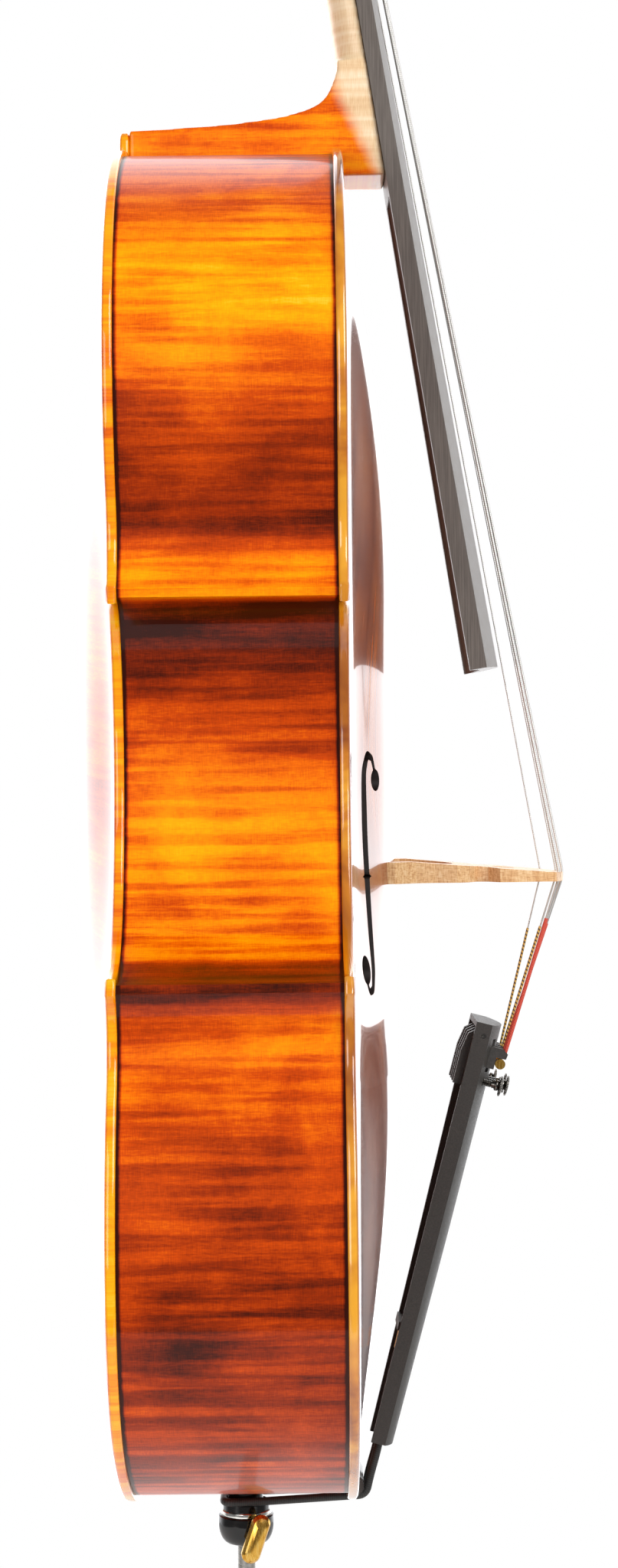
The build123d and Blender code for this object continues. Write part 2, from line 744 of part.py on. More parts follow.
with BuildPart() as tuner_pin:
    reach = tail_half(pivot_at[0])[0]
    with BuildSketch(tail_side.offset(-reach)):
        with Locations((pivot_at[0], -pivot_at[1])):
            Circle(1.5)
    extrude(amount=2 * reach)
finish(tuner_pin, "tuner_pivot_pin")

# The tailgut: from the web inside the tailpiece, over the saddle, round the endpin and back.
loop_radius, loop_z = 12.2, -7
gut_leg = (
    on_tail(196.3, -3.8, gut_x), on_tail(222, -3.5, gut_x), place(22, -75.3, gut_x),
    place(8, -70.8, gut_x + 0.5), place(-3.5, -69.4, gut_x + 1), place(loop_z, -63, gut_x + 1.5),
    place(loop_z, 0, loop_radius),
)
loop_corner = [place(loop_z, loop_radius, side * loop_radius) for side in (1, -1)]
gut_route = [*gut_leg, *loop_corner, *[Vector(-p.X, p.Y, p.Z) for p in reversed(gut_leg)]]
gut_path = FilletPolyline(*gut_route, radius=3, mode=Mode.PRIVATE)
with BuildPart() as tailgut:
    with BuildSketch(Plane(origin=gut_path @ 0, z_dir=gut_path % 0)):
        Circle(gut_radius)
    sweep(path=gut_path)
finish(tailgut, "tailgut")

with BuildPart() as tailgut_ends:
    for side in (-1, 1):
        with BuildSketch(tail_base.offset(-web_at + 4)):
            with Locations((side * gut_x, -4)):
                Circle(1.7)
        extrude(amount=-23.5)
        with BuildSketch(tail_base.offset(-web_at - web_thick - 1)):
            with Locations((side * gut_x, -4)):
                Circle(2.6)
        extrude(amount=-13)
finish(tailgut_ends, "tailgut_ferrules")


# ---------------------------------------------------------------- endpin
collar_low = -14
with BuildPart() as socket:
    with BuildSketch(Plane.XZ):
        with BuildLine():
            Polyline(
                (rod_radius + 0.06, 46), (9.8, 46), (plug_radius, 42), (plug_radius, overhang),
                (9.8, overhang), (9.8, -9.5), (13.4, -9.7), (13.4, collar_low), (11, collar_low),
                (11, -17), (15.6, -17), (16, -21), (15, -25.5), (12.6, -30), (9.5, -bowl_low),
                (rod_radius + 0.06, -bowl_low), close=True,
            )
        make_face()
    revolve(axis=Axis.Z)
clamp_turn = 15
clamp_axis = Plane(
    origin=place(-clamp_height, 0), x_dir=(0, 0, 1),
    z_dir=(-cos(radians(clamp_turn)), -sin(radians(clamp_turn)), 0),
)
with BuildPart() as endpin_socket:
    add(socket.part.moved(Location((0, 0, body_bottom))))
    with BuildSketch(clamp_axis):
        Circle(2.45)
    extrude(amount=30, mode=Mode.SUBTRACT)
finish(endpin_socket, "endpin_socket")

with BuildPart() as ring:
    with BuildSketch(Plane.XY.offset(body_bottom - 17)):
        Circle(14.4)
        Circle(11, mode=Mode.SUBTRACT)
    extrude(amount=3)
finish(ring, "endpin_ring")

# A shallow stop groove rings the rod at the depth that a stand's tube takes it.
groove_at, groove_wide, groove_depth = 180, 2.5, 0.6
with BuildPart() as endpin_rod:
    with BuildSketch():
        Circle(rod_radius)
    extrude(amount=rod_length)
    with BuildSketch(Plane.XY.offset(groove_at)):
        Circle(rod_radius + 1)
        Circle(rod_radius - groove_depth, mode=Mode.SUBTRACT)
    extrude(amount=groove_wide, mode=Mode.SUBTRACT)
finish(endpin_rod, "endpin_rod")

wing_turn, wing_long, wing_wide = -20, 28, 11
with BuildPart() as clamp_screw:
    with BuildSketch(clamp_axis.offset(rod_radius + 0.1)):
        Circle(2.4)
    extrude(amount=19)
    with BuildSketch(clamp_axis.offset(21)):
        with Locations(Rotation(0, 0, wing_turn)):
            SlotOverall(wing_long, wing_wide)
    extrude(amount=5.5)
finish(clamp_screw, "endpin_screw")
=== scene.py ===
import math

import bmesh
import bpy
import numpy as np
from mathutils import Matrix, Vector
from mathutils.geometry import delaunay_2d_cdt


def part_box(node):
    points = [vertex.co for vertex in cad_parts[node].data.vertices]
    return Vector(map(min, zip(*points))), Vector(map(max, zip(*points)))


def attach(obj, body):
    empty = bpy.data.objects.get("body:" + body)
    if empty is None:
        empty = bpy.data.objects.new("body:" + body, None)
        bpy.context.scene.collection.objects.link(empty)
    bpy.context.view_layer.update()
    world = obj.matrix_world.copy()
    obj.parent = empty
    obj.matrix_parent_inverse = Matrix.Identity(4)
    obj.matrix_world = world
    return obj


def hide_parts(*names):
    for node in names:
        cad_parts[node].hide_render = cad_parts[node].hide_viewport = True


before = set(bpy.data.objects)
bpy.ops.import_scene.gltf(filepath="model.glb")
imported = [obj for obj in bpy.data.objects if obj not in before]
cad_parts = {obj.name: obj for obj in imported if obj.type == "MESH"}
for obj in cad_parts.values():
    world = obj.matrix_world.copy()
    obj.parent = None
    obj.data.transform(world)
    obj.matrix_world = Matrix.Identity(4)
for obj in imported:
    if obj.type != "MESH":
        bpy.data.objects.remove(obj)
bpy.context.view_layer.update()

mm = 0.001
perMetre = 1000  # divided by a size in millimetres, gives a pattern's scale
print("frame loaded")


def linear(hexCode):
    # an sRGB hex value as the linear colour that shaders work in
    parts = [int(hexCode[i:i + 2], 16) / 255 for i in (0, 2, 4)]
    return [v / 12.92 if v <= 0.04045 else ((v + 0.055) / 1.055) ** 2.4 for v in parts] + [1.0]


def addNode(tree, kind, settings=None, values=None, links=None):
    # one node, its settings, its socket values, and what feeds its sockets
    node = tree.nodes.new(kind)
    for key, value in (settings or {}).items():
        setattr(node, key, value)
    for key, value in (values or {}).items():
        node.inputs[key].default_value = value
    for key, source in (links or {}).items():
        tree.links.new(source, node.inputs[key])
    return node


def rampStops(tree, source, stops):
    # a colour ramp whose stops are (place, hex colour) or (place, grey)
    node = addNode(tree, "ShaderNodeValToRGB", links={0: source})
    ramp = node.color_ramp
    while len(ramp.elements) < len(stops):
        ramp.elements.new(0.5)
    for element, (place, colour) in zip(ramp.elements, stops):
        element.position = place
        element.color = linear(colour) if isinstance(colour, str) else [colour] * 3 + [1.0]
    return node.outputs["Color"]


def newMaterial(name, **sockets):
    # a Principled material, with its constants set on the shader's own sockets
    material = bpy.data.materials.new(name)
    material.use_nodes = True
    tree = material.node_tree
    shader = tree.nodes["Principled BSDF"]
    for key, value in sockets.items():
        shader.inputs[key.replace("_", " ")].default_value = value
    return material, tree, shader


def remap(tree, source, before, after, smooth=False):
    # one range of values carried over to another, and held at its ends
    kind = "SMOOTHSTEP" if smooth else "LINEAR"
    return addNode(tree, "ShaderNodeMapRange", {"interpolation_type": kind},
                   {1: before[0], 2: before[1], 3: after[0], 4: after[1]}, {0: source}).outputs[0]


def axes(tree, source):
    return addNode(tree, "ShaderNodeSeparateXYZ", links={0: source}).outputs


def blend(tree, share, first, second):
    return addNode(tree, "ShaderNodeMix", {"data_type": "RGBA"},
                   links={0: share, 6: first, 7: second}).outputs[2]


def pattern(tree, source, scale, detail=2.0, rough=0.5, twist=0.0, offset=(0, 0, 0)):
    # noise with its own scale per axis, in features per metre
    placed = addNode(tree, "ShaderNodeMapping", values={"Scale": scale, "Location": offset},
                     links={"Vector": source})
    noise = addNode(tree, "ShaderNodeTexNoise",
                    values={"Scale": 1.0, "Detail": detail, "Roughness": rough, "Distortion": twist},
                    links={"Vector": placed.outputs[0]})
    return noise.outputs["Fac"]


def weigh(tree, source, factor, plus=0.0):
    # source times a factor plus a term, which may be another socket
    node = addNode(tree, "ShaderNodeMath", {"operation": "MULTIPLY_ADD"}, {1: factor}, {0: source})
    if isinstance(plus, (int, float)):
        node.inputs[2].default_value = plus
    else:
        tree.links.new(plus, node.inputs[2])
    return node.outputs[0]


def combine(tree, operation, first, second):
    # two sockets added or multiplied
    return addNode(tree, "ShaderNodeMath", {"operation": operation},
                   links={0: first, 1: second}).outputs[0]


def addBump(tree, shader, height, distance, strength=1.0):
    # relief of that height in metres, from a pattern
    bump = addNode(tree, "ShaderNodeBump", values={"Distance": distance, "Strength": strength},
                   links={"Height": height})
    tree.links.new(bump.outputs[0], shader.inputs["Normal"])


print("helpers ready")

# Flamed maple under an oil varnish worn thin in places: amber to red-brown, with the flame's
# stripes across the grain and a clear gloss over the top.
mapleLook = dict(
    flameWidth=9, flameLength=140, stripeWidth=4.5, stripeLength=90, fleckWidth=0.9, fleckLength=5,
    poreWidth=0.45, poreLength=7, patch=60,  # millimetres, as are the ones above
    roughness=0.34, specular=0.08, coatRoughness=0.06, relief=0.00012,
    broadShare=0.6, patchShare=0.5, varnishShadeShare=0.8, fleckShare=0.22, poreShare=0.2,
    stripeDepth=(0.10, 0.26), uneven=(14, 14, 9), unevenAt=(3.1, 0.7, 1.9), rimGold=-0.24,
    edgeShadeDepth=0.62, varnishShadeSpan=(0.29, 1.05), rimSpan=(0.0612, 0.0624), edgeShadeSpan=(0.0543, 0.0570),
    bareWood=((0.3, "D8A878"), (0.48, "F2D2A6"), (0.62, "FFEBCB")),
    colours=((0.0, "FFD23C"), (0.16, "FFB400"), (0.32, "FF9200"), (0.46, "F06A00"), (0.58, "D04800"),
             (0.74, "9C2E00"), (0.90, "621A02"), (1.0, "3A0E02")),
)


def varnishedMaple(name, depth, zoned=True, coat=0.28, bare=None, edges=False, goldEdge=False):
    look = mapleLook
    material, tree, shader = newMaterial(
        name, Roughness=look["roughness"], IOR=1.5, Specular_IOR_Level=look["specular"],
        Coat_Weight=coat, Coat_Roughness=look["coatRoughness"])
    coords = addNode(tree, "ShaderNodeTexCoord")
    along, place = coords.outputs["UV"], coords.outputs["Object"]

    def figure(wide, long, *rest):
        # marks of a width along the grain and a length across it
        return pattern(tree, along, (perMetre / look[wide], perMetre / look[long], 1), *rest)
    broad = figure("flameWidth", "flameLength", 3, 0.5, 0.5)
    narrow = figure("stripeWidth", "stripeLength", 3, 0.55, 0.3)
    flame = weigh(tree, narrow, 1 - look["broadShare"], weigh(tree, broad, look["broadShare"]))
    fleck = figure("fleckWidth", "fleckLength", 2, 0.6, 0.2)
    pores = figure("poreLength", "poreWidth", 2, 0.6)
    patch = pattern(tree, place, (perMetre / look["patch"],) * 3, 3, 0.6, 0.6)
    depthAt = weigh(tree, patch, look["patchShare"], depth - look["patchShare"] / 2)
    if zoned:
        # how dark the ribs lie along the body, from the lower edge up: partly the varnish's depth, partly
        # painted light and shade, bright where the curved ribs catch the light and dark where they lose it
        level = remap(tree, axes(tree, place)["Z"], look["varnishShadeSpan"], (0.0, 1.0))
        varnishAndShade = rampStops(tree, level, varnishAndShadeStops)
        depthAt = weigh(tree, varnishAndShade, look["varnishShadeShare"], depthAt)
    stripe = remap(tree, flame, (0.38, 0.60), (1.0, 0.0), smooth=True)
    uneven = pattern(tree, place, look["uneven"], 2, 0.5, 0.0, look["unevenAt"])
    strength = remap(tree, uneven, (0.36, 0.62), look["stripeDepth"])
    striped = combine(tree, "MULTIPLY", stripe, strength)
    depthAt = combine(tree, "ADD", weigh(tree, depthAt, 1.0, -look["stripeDepth"][0]), striped)
    for mark, share in ((fleck, look["fleckShare"]), (pores, look["poreShare"])):
        depthAt = weigh(tree, mark, share, weigh(tree, depthAt, 1.0, -share / 2))
    if goldEdge:
        # the rounded rim, worn golden
        worn = remap(tree, axes(tree, place)["Y"], look["rimSpan"], (look["rimGold"], 0.0))
        depthAt = combine(tree, "ADD", depthAt, worn)
    if edges:
        # painted shade: a darker band in the corner under each plate's overhanging edge, where its shade
        # falls on the rib
        reach = addNode(tree, "ShaderNodeMath", {"operation": "ABSOLUTE"},
                        links={0: axes(tree, along)["Y"]})
        dark = remap(tree, reach.outputs[0], look["edgeShadeSpan"], (0.0, look["edgeShadeDepth"]), smooth=True)
        depthAt = combine(tree, "ADD", depthAt, dark)
    colour = rampStops(tree, depthAt, look["colours"])
    if bare is not None:
        mask = bare(tree, place)
        pale = weigh(tree, flame, 0.7, weigh(tree, pores, 0.3))
        wood = rampStops(tree, pale, look["bareWood"])
        colour = blend(tree, mask, colour, wood)
    tree.links.new(colour, shader.inputs["Base Color"])
    addBump(tree, shader, weigh(tree, pores, 0.6, weigh(tree, fleck, 0.4)), look["relief"], 0.5)
    return material


# Darkness along the ribs, partly the varnish's depth and partly painted light and shade: place up the body
# from 0 to 1, and how dark it lies there.
varnishAndShadeStops = (
    (0.0, 0.64), (0.08, 0.60), (0.20, 0.68), (0.27, 0.58), (0.31, 0.42), (0.355, 0.36), (0.375, 0.44),
    (0.386, 0.90), (0.398, 0.85), (0.41, 0.24), (0.50, 0.16), (0.55, 0.40), (0.58, 0.56), (0.61, 0.85),
    (0.648, 1.0), (0.652, 0.18), (0.675, 0.22), (0.70, 0.80), (0.755, 0.64), (0.80, 0.32), (0.845, 0.03),
    (0.875, 0.06), (0.92, 0.40), (1.0, 0.52))


def arcRun(point, heading, arcs, step=3.0):
    # points along arcs of (radius, turn in degrees), left turns positive
    points, place, angle = [np.array(point, float)], np.array(point, float), math.radians(heading)
    for radius, turn in arcs:
        side = math.copysign(radius, turn)
        centre = place + side * np.array((-math.sin(angle), math.cos(angle)))
        count = max(2, math.ceil(radius * abs(math.radians(turn)) / step))
        for i in range(1, count + 1):
            a = angle + math.radians(turn) * i / count
            points.append(centre - side * np.array((-math.sin(a), math.cos(a))))
        place, angle = points[-1], angle + math.radians(turn)
    return points, math.degrees(angle)


def arcTo(points, heading, end, step=3.0):
    # carries a run on by the one arc that leaves it smoothly and reaches the end
    chord = np.array(end, float) - points[-1]
    bend = math.atan2(chord[1], chord[0]) - math.radians(heading)
    bend = (bend + math.pi) % (2 * math.pi) - math.pi
    radius = np.hypot(*chord) / (2 * abs(math.sin(bend)))
    return points + arcRun(points[-1], heading, ((radius, math.degrees(2 * bend)),), step)[0][1:]


# Sizes of the body in millimetres, measured from its lower edge.
body = dict(low=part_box("top_plate")[0].z / mm, high=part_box("top_plate")[1].z / mm,
            ribHalf=57.0, ribThick=1.6, overhang=3.5, edge=5.5, archHeight=26.0, margin=9.0)
body["length"] = body["high"] - body["low"]

# The runs of the outline's treble half: first point, heading, arcs, and the corner they reach.
outlineRuns = (
    ((0, 0), 0, ((285, 36), (124.5, 54), (190, 30)), (197.5, 294)),
    ((0, body["length"]), 0, ((208, -33), (127, -57), (165, -26)), (161, 500)),
    ((115, 412), 90, ((130, -30),), (158, 491.5)),
    ((115, 412), -90, ((150, 30),), (194.1, 302.3)),
)
lowerRun, upperRun, waistUp, waistDown = (
    arcTo(*arcRun(point, heading, arcs), corner) for point, heading, arcs, corner in outlineRuns)
waistRun = waistDown[::-1] + waistUp[1:]
rightSide = lowerRun + waistRun + upperRun[::-1]
outline = np.array(rightSide + [np.array((-p[0], p[1])) for p in rightSide[-2:0:-1]])
lowCorner = len(lowerRun) - 1  # places in the outline where one rib meets the next
highCorner = len(lowerRun) + len(waistRun)
topMiddle = len(rightSide) - 1


def inset(ring, depth):
    # the ring moved inwards, with sharp corners kept
    before, after = np.roll(ring, 1, 0), np.roll(ring, -1, 0)

    def inward(a, b):
        run = b - a
        return np.stack((-run[:, 1], run[:, 0]), 1) / np.linalg.norm(run, axis=1)[:, None]
    first, second = inward(before, ring), inward(ring, after)
    middle = first + second
    middle /= np.linalg.norm(middle, axis=1)[:, None]
    return ring + middle * depth / np.maximum(0.35, (middle * first).sum(1))[:, None]


def edgeDistance(points, ring):
    # distance from each point to a closed ring
    a, b = ring, np.roll(ring, -1, 0)
    run = b - a
    best = np.full(len(points), 1e9)
    for start in range(0, len(points), 800):
        part = points[start:start + 800, None, :]
        t = np.clip(((part - a) * run).sum(2) / (run ** 2).sum(1), 0, 1)
        best[start:start + 800] = np.linalg.norm(part - (a + t[..., None] * run), axis=2).min(1)
    return best


def insideOf(points, ring):
    a, b = ring, np.roll(ring, -1, 0)
    x, z = points[:, 0, None], points[:, 1, None]
    crosses = (a[:, 1] > z) != (b[:, 1] > z)
    with np.errstate(divide="ignore", invalid="ignore"):
        where = (b[:, 0] - a[:, 0]) * (z - a[:, 1]) / (b[:, 1] - a[:, 1]) + a[:, 0]
    return (crosses & (x < where)).sum(1) % 2 == 1


# The arch's half width at the middle of each bout and of the waist, as place and width.
archShape = dict(
    lower=(155, 219), middle=(412, 115), upper=(617, 171), upperReach=140, fullness=2.3,
    endRun=250, endPower=0.75, sidePower=1.25, channel=0.75, channelAt=8.0, channelWide=3.2,
)


def archWidth(z):
    (lowAt, low), (midAt, mid), (highAt, high) = (archShape[k] for k in ("lower", "middle", "upper"))

    def rounding(wide, past):
        full = archShape["fullness"]
        return wide * (1 - np.clip(past, 0, 1) ** full) ** (1 / full)
    waist = np.where(
        z < midAt, (low + mid) / 2 + (low - mid) / 2 * np.cos(np.pi * (z - lowAt) / (midAt - lowAt)),
        (high + mid) / 2 - (high - mid) / 2 * np.cos(np.pi * (z - midAt) / (highAt - midAt)))
    top = rounding(high, (z - highAt) / archShape["upperReach"])
    return np.where(z < lowAt, rounding(low, (lowAt - z) / lowAt), np.where(z > highAt, top, waist))


def arching(points):
    # height of the arch over the flat edge
    x, z = np.abs(points[:, 0]), points[:, 1]
    wide = np.maximum(1, archWidth(z) - body["margin"])
    rise = body["archHeight"] * np.ones(len(points))
    for run in (z - body["margin"], body["length"] - body["margin"] - z):
        share = np.clip(np.maximum(0, run) / archShape["endRun"], 0, 1) ** archShape["endPower"]
        rise = rise * (1 - np.cos(np.pi * share)) / 2
    return rise * (1 + np.cos(np.pi * np.clip(x / wide, 0, 1) ** archShape["sidePower"])) / 2


def outerHeight(points, distance):
    # the outer face of a plate: a raised edge, a shallow channel, then the arch
    across = (distance - archShape["channelAt"]) / archShape["channelWide"]
    channel = archShape["channel"] * np.exp(-across ** 2)
    return body["ribHalf"] + body["edge"] + arching(points) - channel


def meshPiece(name, points, faces, material, onBody, nodes=(), uv=None, second=None):
    # a finished piece: points in metres in the row frame, riding a body, standing for CAD nodes
    mesh = bpy.data.meshes.new(name)
    mesh.from_pydata([tuple(p) for p in points], [], [tuple(int(i) for i in f) for f in faces])
    mesh.validate()
    if uv is not None:
        layer = mesh.uv_layers.new(name="along")
        index = np.zeros(len(mesh.loops), int)
        mesh.loops.foreach_get("vertex_index", index)
        layer.data.foreach_set("uv", np.asarray(uv, float)[index].ravel())
    mesh.polygons.foreach_set("use_smooth", [True] * len(mesh.polygons))
    mesh.materials.append(material)
    if second:
        # another finish on some of the faces
        mesh.materials.append(second[0])
        for i in second[1]:
            mesh.polygons[i].material_index = 1
    return settle(addObject(name, mesh), onBody, nodes)


def addObject(name, data):
    made = bpy.data.objects.new(name, data)
    bpy.context.scene.collection.objects.link(made)
    return made


def frozen(piece):
    # what the piece's modifiers make of it, kept as a plain mesh
    bpy.context.view_layer.update()
    result = bpy.data.meshes.new_from_object(piece.evaluated_get(bpy.context.evaluated_depsgraph_get()))
    piece.modifiers.clear()
    piece.data = result
    return result


def settle(piece, onBody, nodes=()):
    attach(piece, onBody)
    if nodes:
        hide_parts(*nodes)
    return piece


def outward(piece, crease=35):
    # merges doubles, turns the faces outwards and keeps sharp edges crisp
    made = bmesh.new()
    made.from_mesh(piece.data)
    bmesh.ops.remove_doubles(made, verts=made.verts, dist=1e-7)
    bmesh.ops.recalc_face_normals(made, faces=made.faces)
    for edge in made.edges:
        edge.smooth = edge.calc_face_angle(3.2) < math.radians(crease)
    made.to_mesh(piece.data)
    made.free()
    return piece


def ringFaces(rings, count):
    # quads between rows of points, each row one after the other
    faces = []
    for row in range(rings - 1):
        for i in range(count):
            j = (i + 1) % count
            faces.append((row * count + i, row * count + j, (row + 1) * count + j, (row + 1) * count + i))
    return faces


def solidFaces(rows, sides, start=0):
    # the same, closed at both ends, for points that begin at a place in a longer list
    last = (rows - 1) * sides
    faces = ringFaces(rows, sides) + [tuple(range(sides))[::-1], tuple(range(last, last + sides))]
    return [tuple(start + i for i in f) for f in faces]


def circle(centre, first, second, radius, sides):
    # points round a circle, from millimetres to metres
    turns = [2 * math.pi * k / sides for k in range(sides)]
    return [(centre + first * (radius * math.cos(a)) + second * (radius * math.sin(a))) * mm for a in turns]


# Sound holes: two round eyes and the swelling stem between them, half width by place.
soundHole = dict(
    eyes=((58, 400, 6.0), (104, 299, 7.8)),
    stem=((58.5, 404, 1.4), (62, 412, 1.8), (68.5, 414, 2.4), (73.5, 405, 3.2), (75.5, 384, 3.9),
          (81, 349, 4.1), (87.5, 316, 3.9), (90.5, 298, 3.2), (95.5, 288, 2.4), (102.5, 287, 1.8),
          (106.5, 295, 1.4)),
    nick=(81, 348, 7.5, 2.0), nickSlope=1.9, low=(44, 276), high=(120, 424), cell=0.5,
)


def holeLoop(step=2.0):
    # one loop round the whole sound hole, traced on a grid of distances, so that its parts join cleanly
    stem = np.array(soundHole["stem"])
    t = np.linspace(0, 1, len(stem))
    fine = np.linspace(0, 1, 160)
    curve = np.stack([np.interp(fine, t, stem[:, k]) for k in range(3)], 1)
    for _ in range(10):
        curve[1:-1] = (curve[:-2] + 2 * curve[1:-1] + curve[2:]) / 4
    xs, zs = (np.arange(low, high, soundHole["cell"])
              for low, high in zip(soundHole["low"], soundHole["high"]))
    gx, gz = np.meshgrid(xs, zs, indexing="ij")
    field = np.full(gx.shape, 1e3)
    for x, z, r in list(curve) + list(soundHole["eyes"]):
        field = np.minimum(field, np.hypot(gx - x, gz - z) - r)
    nickX, nickZ, nickWide, nickTall = soundHole["nick"]
    nick = np.abs(gx - nickX) / nickWide + np.abs(gz - nickZ) / nickTall - 1
    field = np.minimum(field, nick * soundHole["nickSlope"])
    # walk round the zero line of the field
    segments = {}

    def cross(a, b):
        (ia, ja), (ib, jb) = a, b
        fa, fb = field[ia, ja], field[ib, jb]
        t = fa / (fa - fb)
        return (round(xs[ia] + (xs[ib] - xs[ia]) * t, 4), round(zs[ja] + (zs[jb] - zs[ja]) * t, 4))
    for i in range(len(xs) - 1):
        for j in range(len(zs) - 1):
            corners = ((i, j), (i + 1, j), (i + 1, j + 1), (i, j + 1))
            signs = [field[c] < 0 for c in corners]
            if all(signs) or not any(signs):
                continue
            ends = [(k, cross(corners[k], corners[(k + 1) % 4])) for k in range(4)
                    if signs[k] != signs[(k + 1) % 4]]
            ends.sort(key=lambda e: signs[e[0]])
            for a, b in zip(ends[:len(ends) // 2], ends[len(ends) // 2:]):
                segments[a[1]] = b[1]
    start = next(iter(segments))
    loop, place = [start], segments[start]
    while place != start and place in segments and len(loop) < 5000:
        loop.append(place)
        place = segments[place]
    kept = [loop[0]]
    for p in loop[1:]:
        if math.dist(p, kept[-1]) > step * 0.5:
            kept.append(p)
    return np.array(kept)


plateShape = dict(
    rings=(0.9, 1.6, 2.6, 4.0, 5.8, 8.0, 11.0),  # rows of points near the edge, by distance from it
    step=4.5, clear=13.0, holeClear=2.2, half=220,
    lip=0.55, lipFrom=1.8, lipWide=0.9, innerArch=0.93, innerGap=0.02,
    rim=((0.25, 61.55), (0.0, 60.7), (0.0, 58.6), (0.3, 57.5)),  # inset and height, outside to inside
    button=((13.9, 57.0), (15.0, 58.0), (15.0, 61.0), (14.2, 62.1), (13.0, 62.4)),  # radius and height
    buttonAt=754, buttonSquare=0.45, buttonPoints=48, flameSlant=0.12,
)


def squared(value):
    # a sine or cosine swelled towards a rounded square
    return math.copysign(abs(value) ** plateShape["buttonSquare"], value)


def plate(name, side, material, nodes, holes=(), button=False):
    # side -1 is the top at the front, +1 the back
    shape = plateShape
    rings = [inset(outline, d) for d in shape["rings"]]
    xs = np.arange(-shape["half"], shape["half"] + 1, shape["step"])
    grid = np.stack(np.meshgrid(xs, np.arange(0, body["length"], shape["step"])), -1).reshape(-1, 2)
    grid = grid[insideOf(grid, outline)]
    grid = grid[edgeDistance(grid, outline) > shape["clear"]]
    loops = [np.asarray(h) for h in holes]
    for loop in loops:
        near = edgeDistance(grid, loop) < shape["holeClear"]
        grid = grid[~near & ~insideOf(grid, loop)]
    points = [rings[0]] + loops
    edges, start = [], 0
    for ring in points:
        count = len(ring)
        edges += [(start + i, start + (i + 1) % count) for i in range(count)]
        start += count
    flat = np.concatenate(points + rings[1:] + [grid])
    made = delaunay_2d_cdt([Vector(p) for p in flat], edges, [], 0, 1e-5)
    spots = np.array([tuple(p) for p in made[0]])
    faces = np.array([f for f in made[2] if len(f) == 3])
    middle = spots[faces].mean(1)
    keep = insideOf(middle, rings[0])
    for loop in loops:
        keep &= ~insideOf(middle, loop)
    faces = faces[keep]
    distance = edgeDistance(spots, outline)
    height = outerHeight(spots, distance)
    height -= shape["lip"] * np.clip((shape["lipFrom"] - distance) / shape["lipWide"], 0, 1) ** 2
    under = body["ribHalf"] + arching(spots) * shape["innerArch"] + shape["innerGap"]

    def indices(ring):
        return [int(((spots - p) ** 2).sum(1).argmin()) for p in ring]
    count = len(spots)
    verts = [(p[0], side * h, p[1] + body["low"]) for p, h in zip(spots, height)]
    verts += [(p[0], side * h, p[1] + body["low"]) for p, h in zip(spots, under)]
    allFaces = [tuple(f) for f in faces] + [tuple(f[::-1] + count) for f in faces]
    top, low = indices(rings[0]), [i + count for i in indices(rings[0])]
    before = top
    for depth, high in shape["rim"]:
        ring = inset(outline, depth)
        first = len(verts)
        verts += [(p[0], side * high, p[1] + body["low"]) for p in ring]
        now = list(range(first, first + len(ring)))
        allFaces += [(before[i], before[(i + 1) % len(ring)], now[(i + 1) % len(ring)], now[i])
                     for i in range(len(ring))]
        before = now
    allFaces += [(before[i], before[(i + 1) % len(top)], low[(i + 1) % len(top)], low[i])
                 for i in range(len(top))]
    walls = len(allFaces)
    for loop in loops:
        ids = indices(loop)
        allFaces += [(ids[(i + 1) % len(ids)], ids[i], ids[i] + count, ids[(i + 1) % len(ids)] + count)
                     for i in range(len(ids))]
    walls = range(walls, len(allFaces))
    if button:
        # the tongue of the back that carries the foot of the neck
        around, rows = shape["buttonPoints"], len(shape["button"])
        first = len(verts)
        for radius, high in shape["button"]:
            verts += [(radius * squared(math.cos(a)), side * high,
                       shape["buttonAt"] + radius * squared(math.sin(a)) + body["low"])
                      for a in np.linspace(0, 2 * math.pi, around, endpoint=False)]
        allFaces += solidFaces(rows, around, first)
    verts = np.array(verts) * mm
    uv = np.stack((verts[:, 2] + shape["flameSlant"] * np.abs(verts[:, 0]), verts[:, 0]), 1)
    piece = meshPiece(name, verts, allFaces, material, "body", nodes, uv, (holeWallShade, walls))
    return outward(piece, 50)


spruceLook = dict(
    grain=1.3, band=14.0, patch=70.0,  # millimetres
    roughness=0.25, coatRoughness=0.05, relief=0.00015, rimSpan=(-0.0624, -0.0612),
    colours=((0.2, "D9820E"), (0.42, "B45A0A"), (0.58, "8C3A06"), (0.75, "5A2205"), (0.95, "341104")),
    rimColours=((0.35, "8A3C06"), (0.5, "D07C10"), (0.62, "F2A824")),
)


def varnishedSpruce(name):
    # Spruce split on the quarter under the same varnish: straight dark and light grain lines,
    # red-brown with golden wear near the edge.
    look = spruceLook
    material, tree, shader = newMaterial(
        name, Roughness=look["roughness"], Coat_Weight=1.0, Coat_Roughness=look["coatRoughness"],
        Coat_IOR=1.6)
    place = addNode(tree, "ShaderNodeTexCoord").outputs["Object"]
    grain = pattern(tree, place, (perMetre / look["grain"], 2, 3), 2, 0.6, 0.1)
    band = pattern(tree, place, (perMetre / look["band"], 1, 2), 2, 0.5)
    patch = pattern(tree, place, (perMetre / look["patch"],) * 3, 4, 0.6, 0.5)
    depth = weigh(tree, grain, 0.45, weigh(tree, band, 0.3, weigh(tree, patch, 0.5, -0.1)))
    colour = rampStops(tree, depth, look["colours"])
    worn = remap(tree, axes(tree, place)["Y"], look["rimSpan"], (0.0, 1.0))
    golden = rampStops(tree, patch, look["rimColours"])
    tree.links.new(blend(tree, worn, colour, golden), shader.inputs["Base Color"])
    addBump(tree, shader, grain, look["relief"], 0.4)
    return material


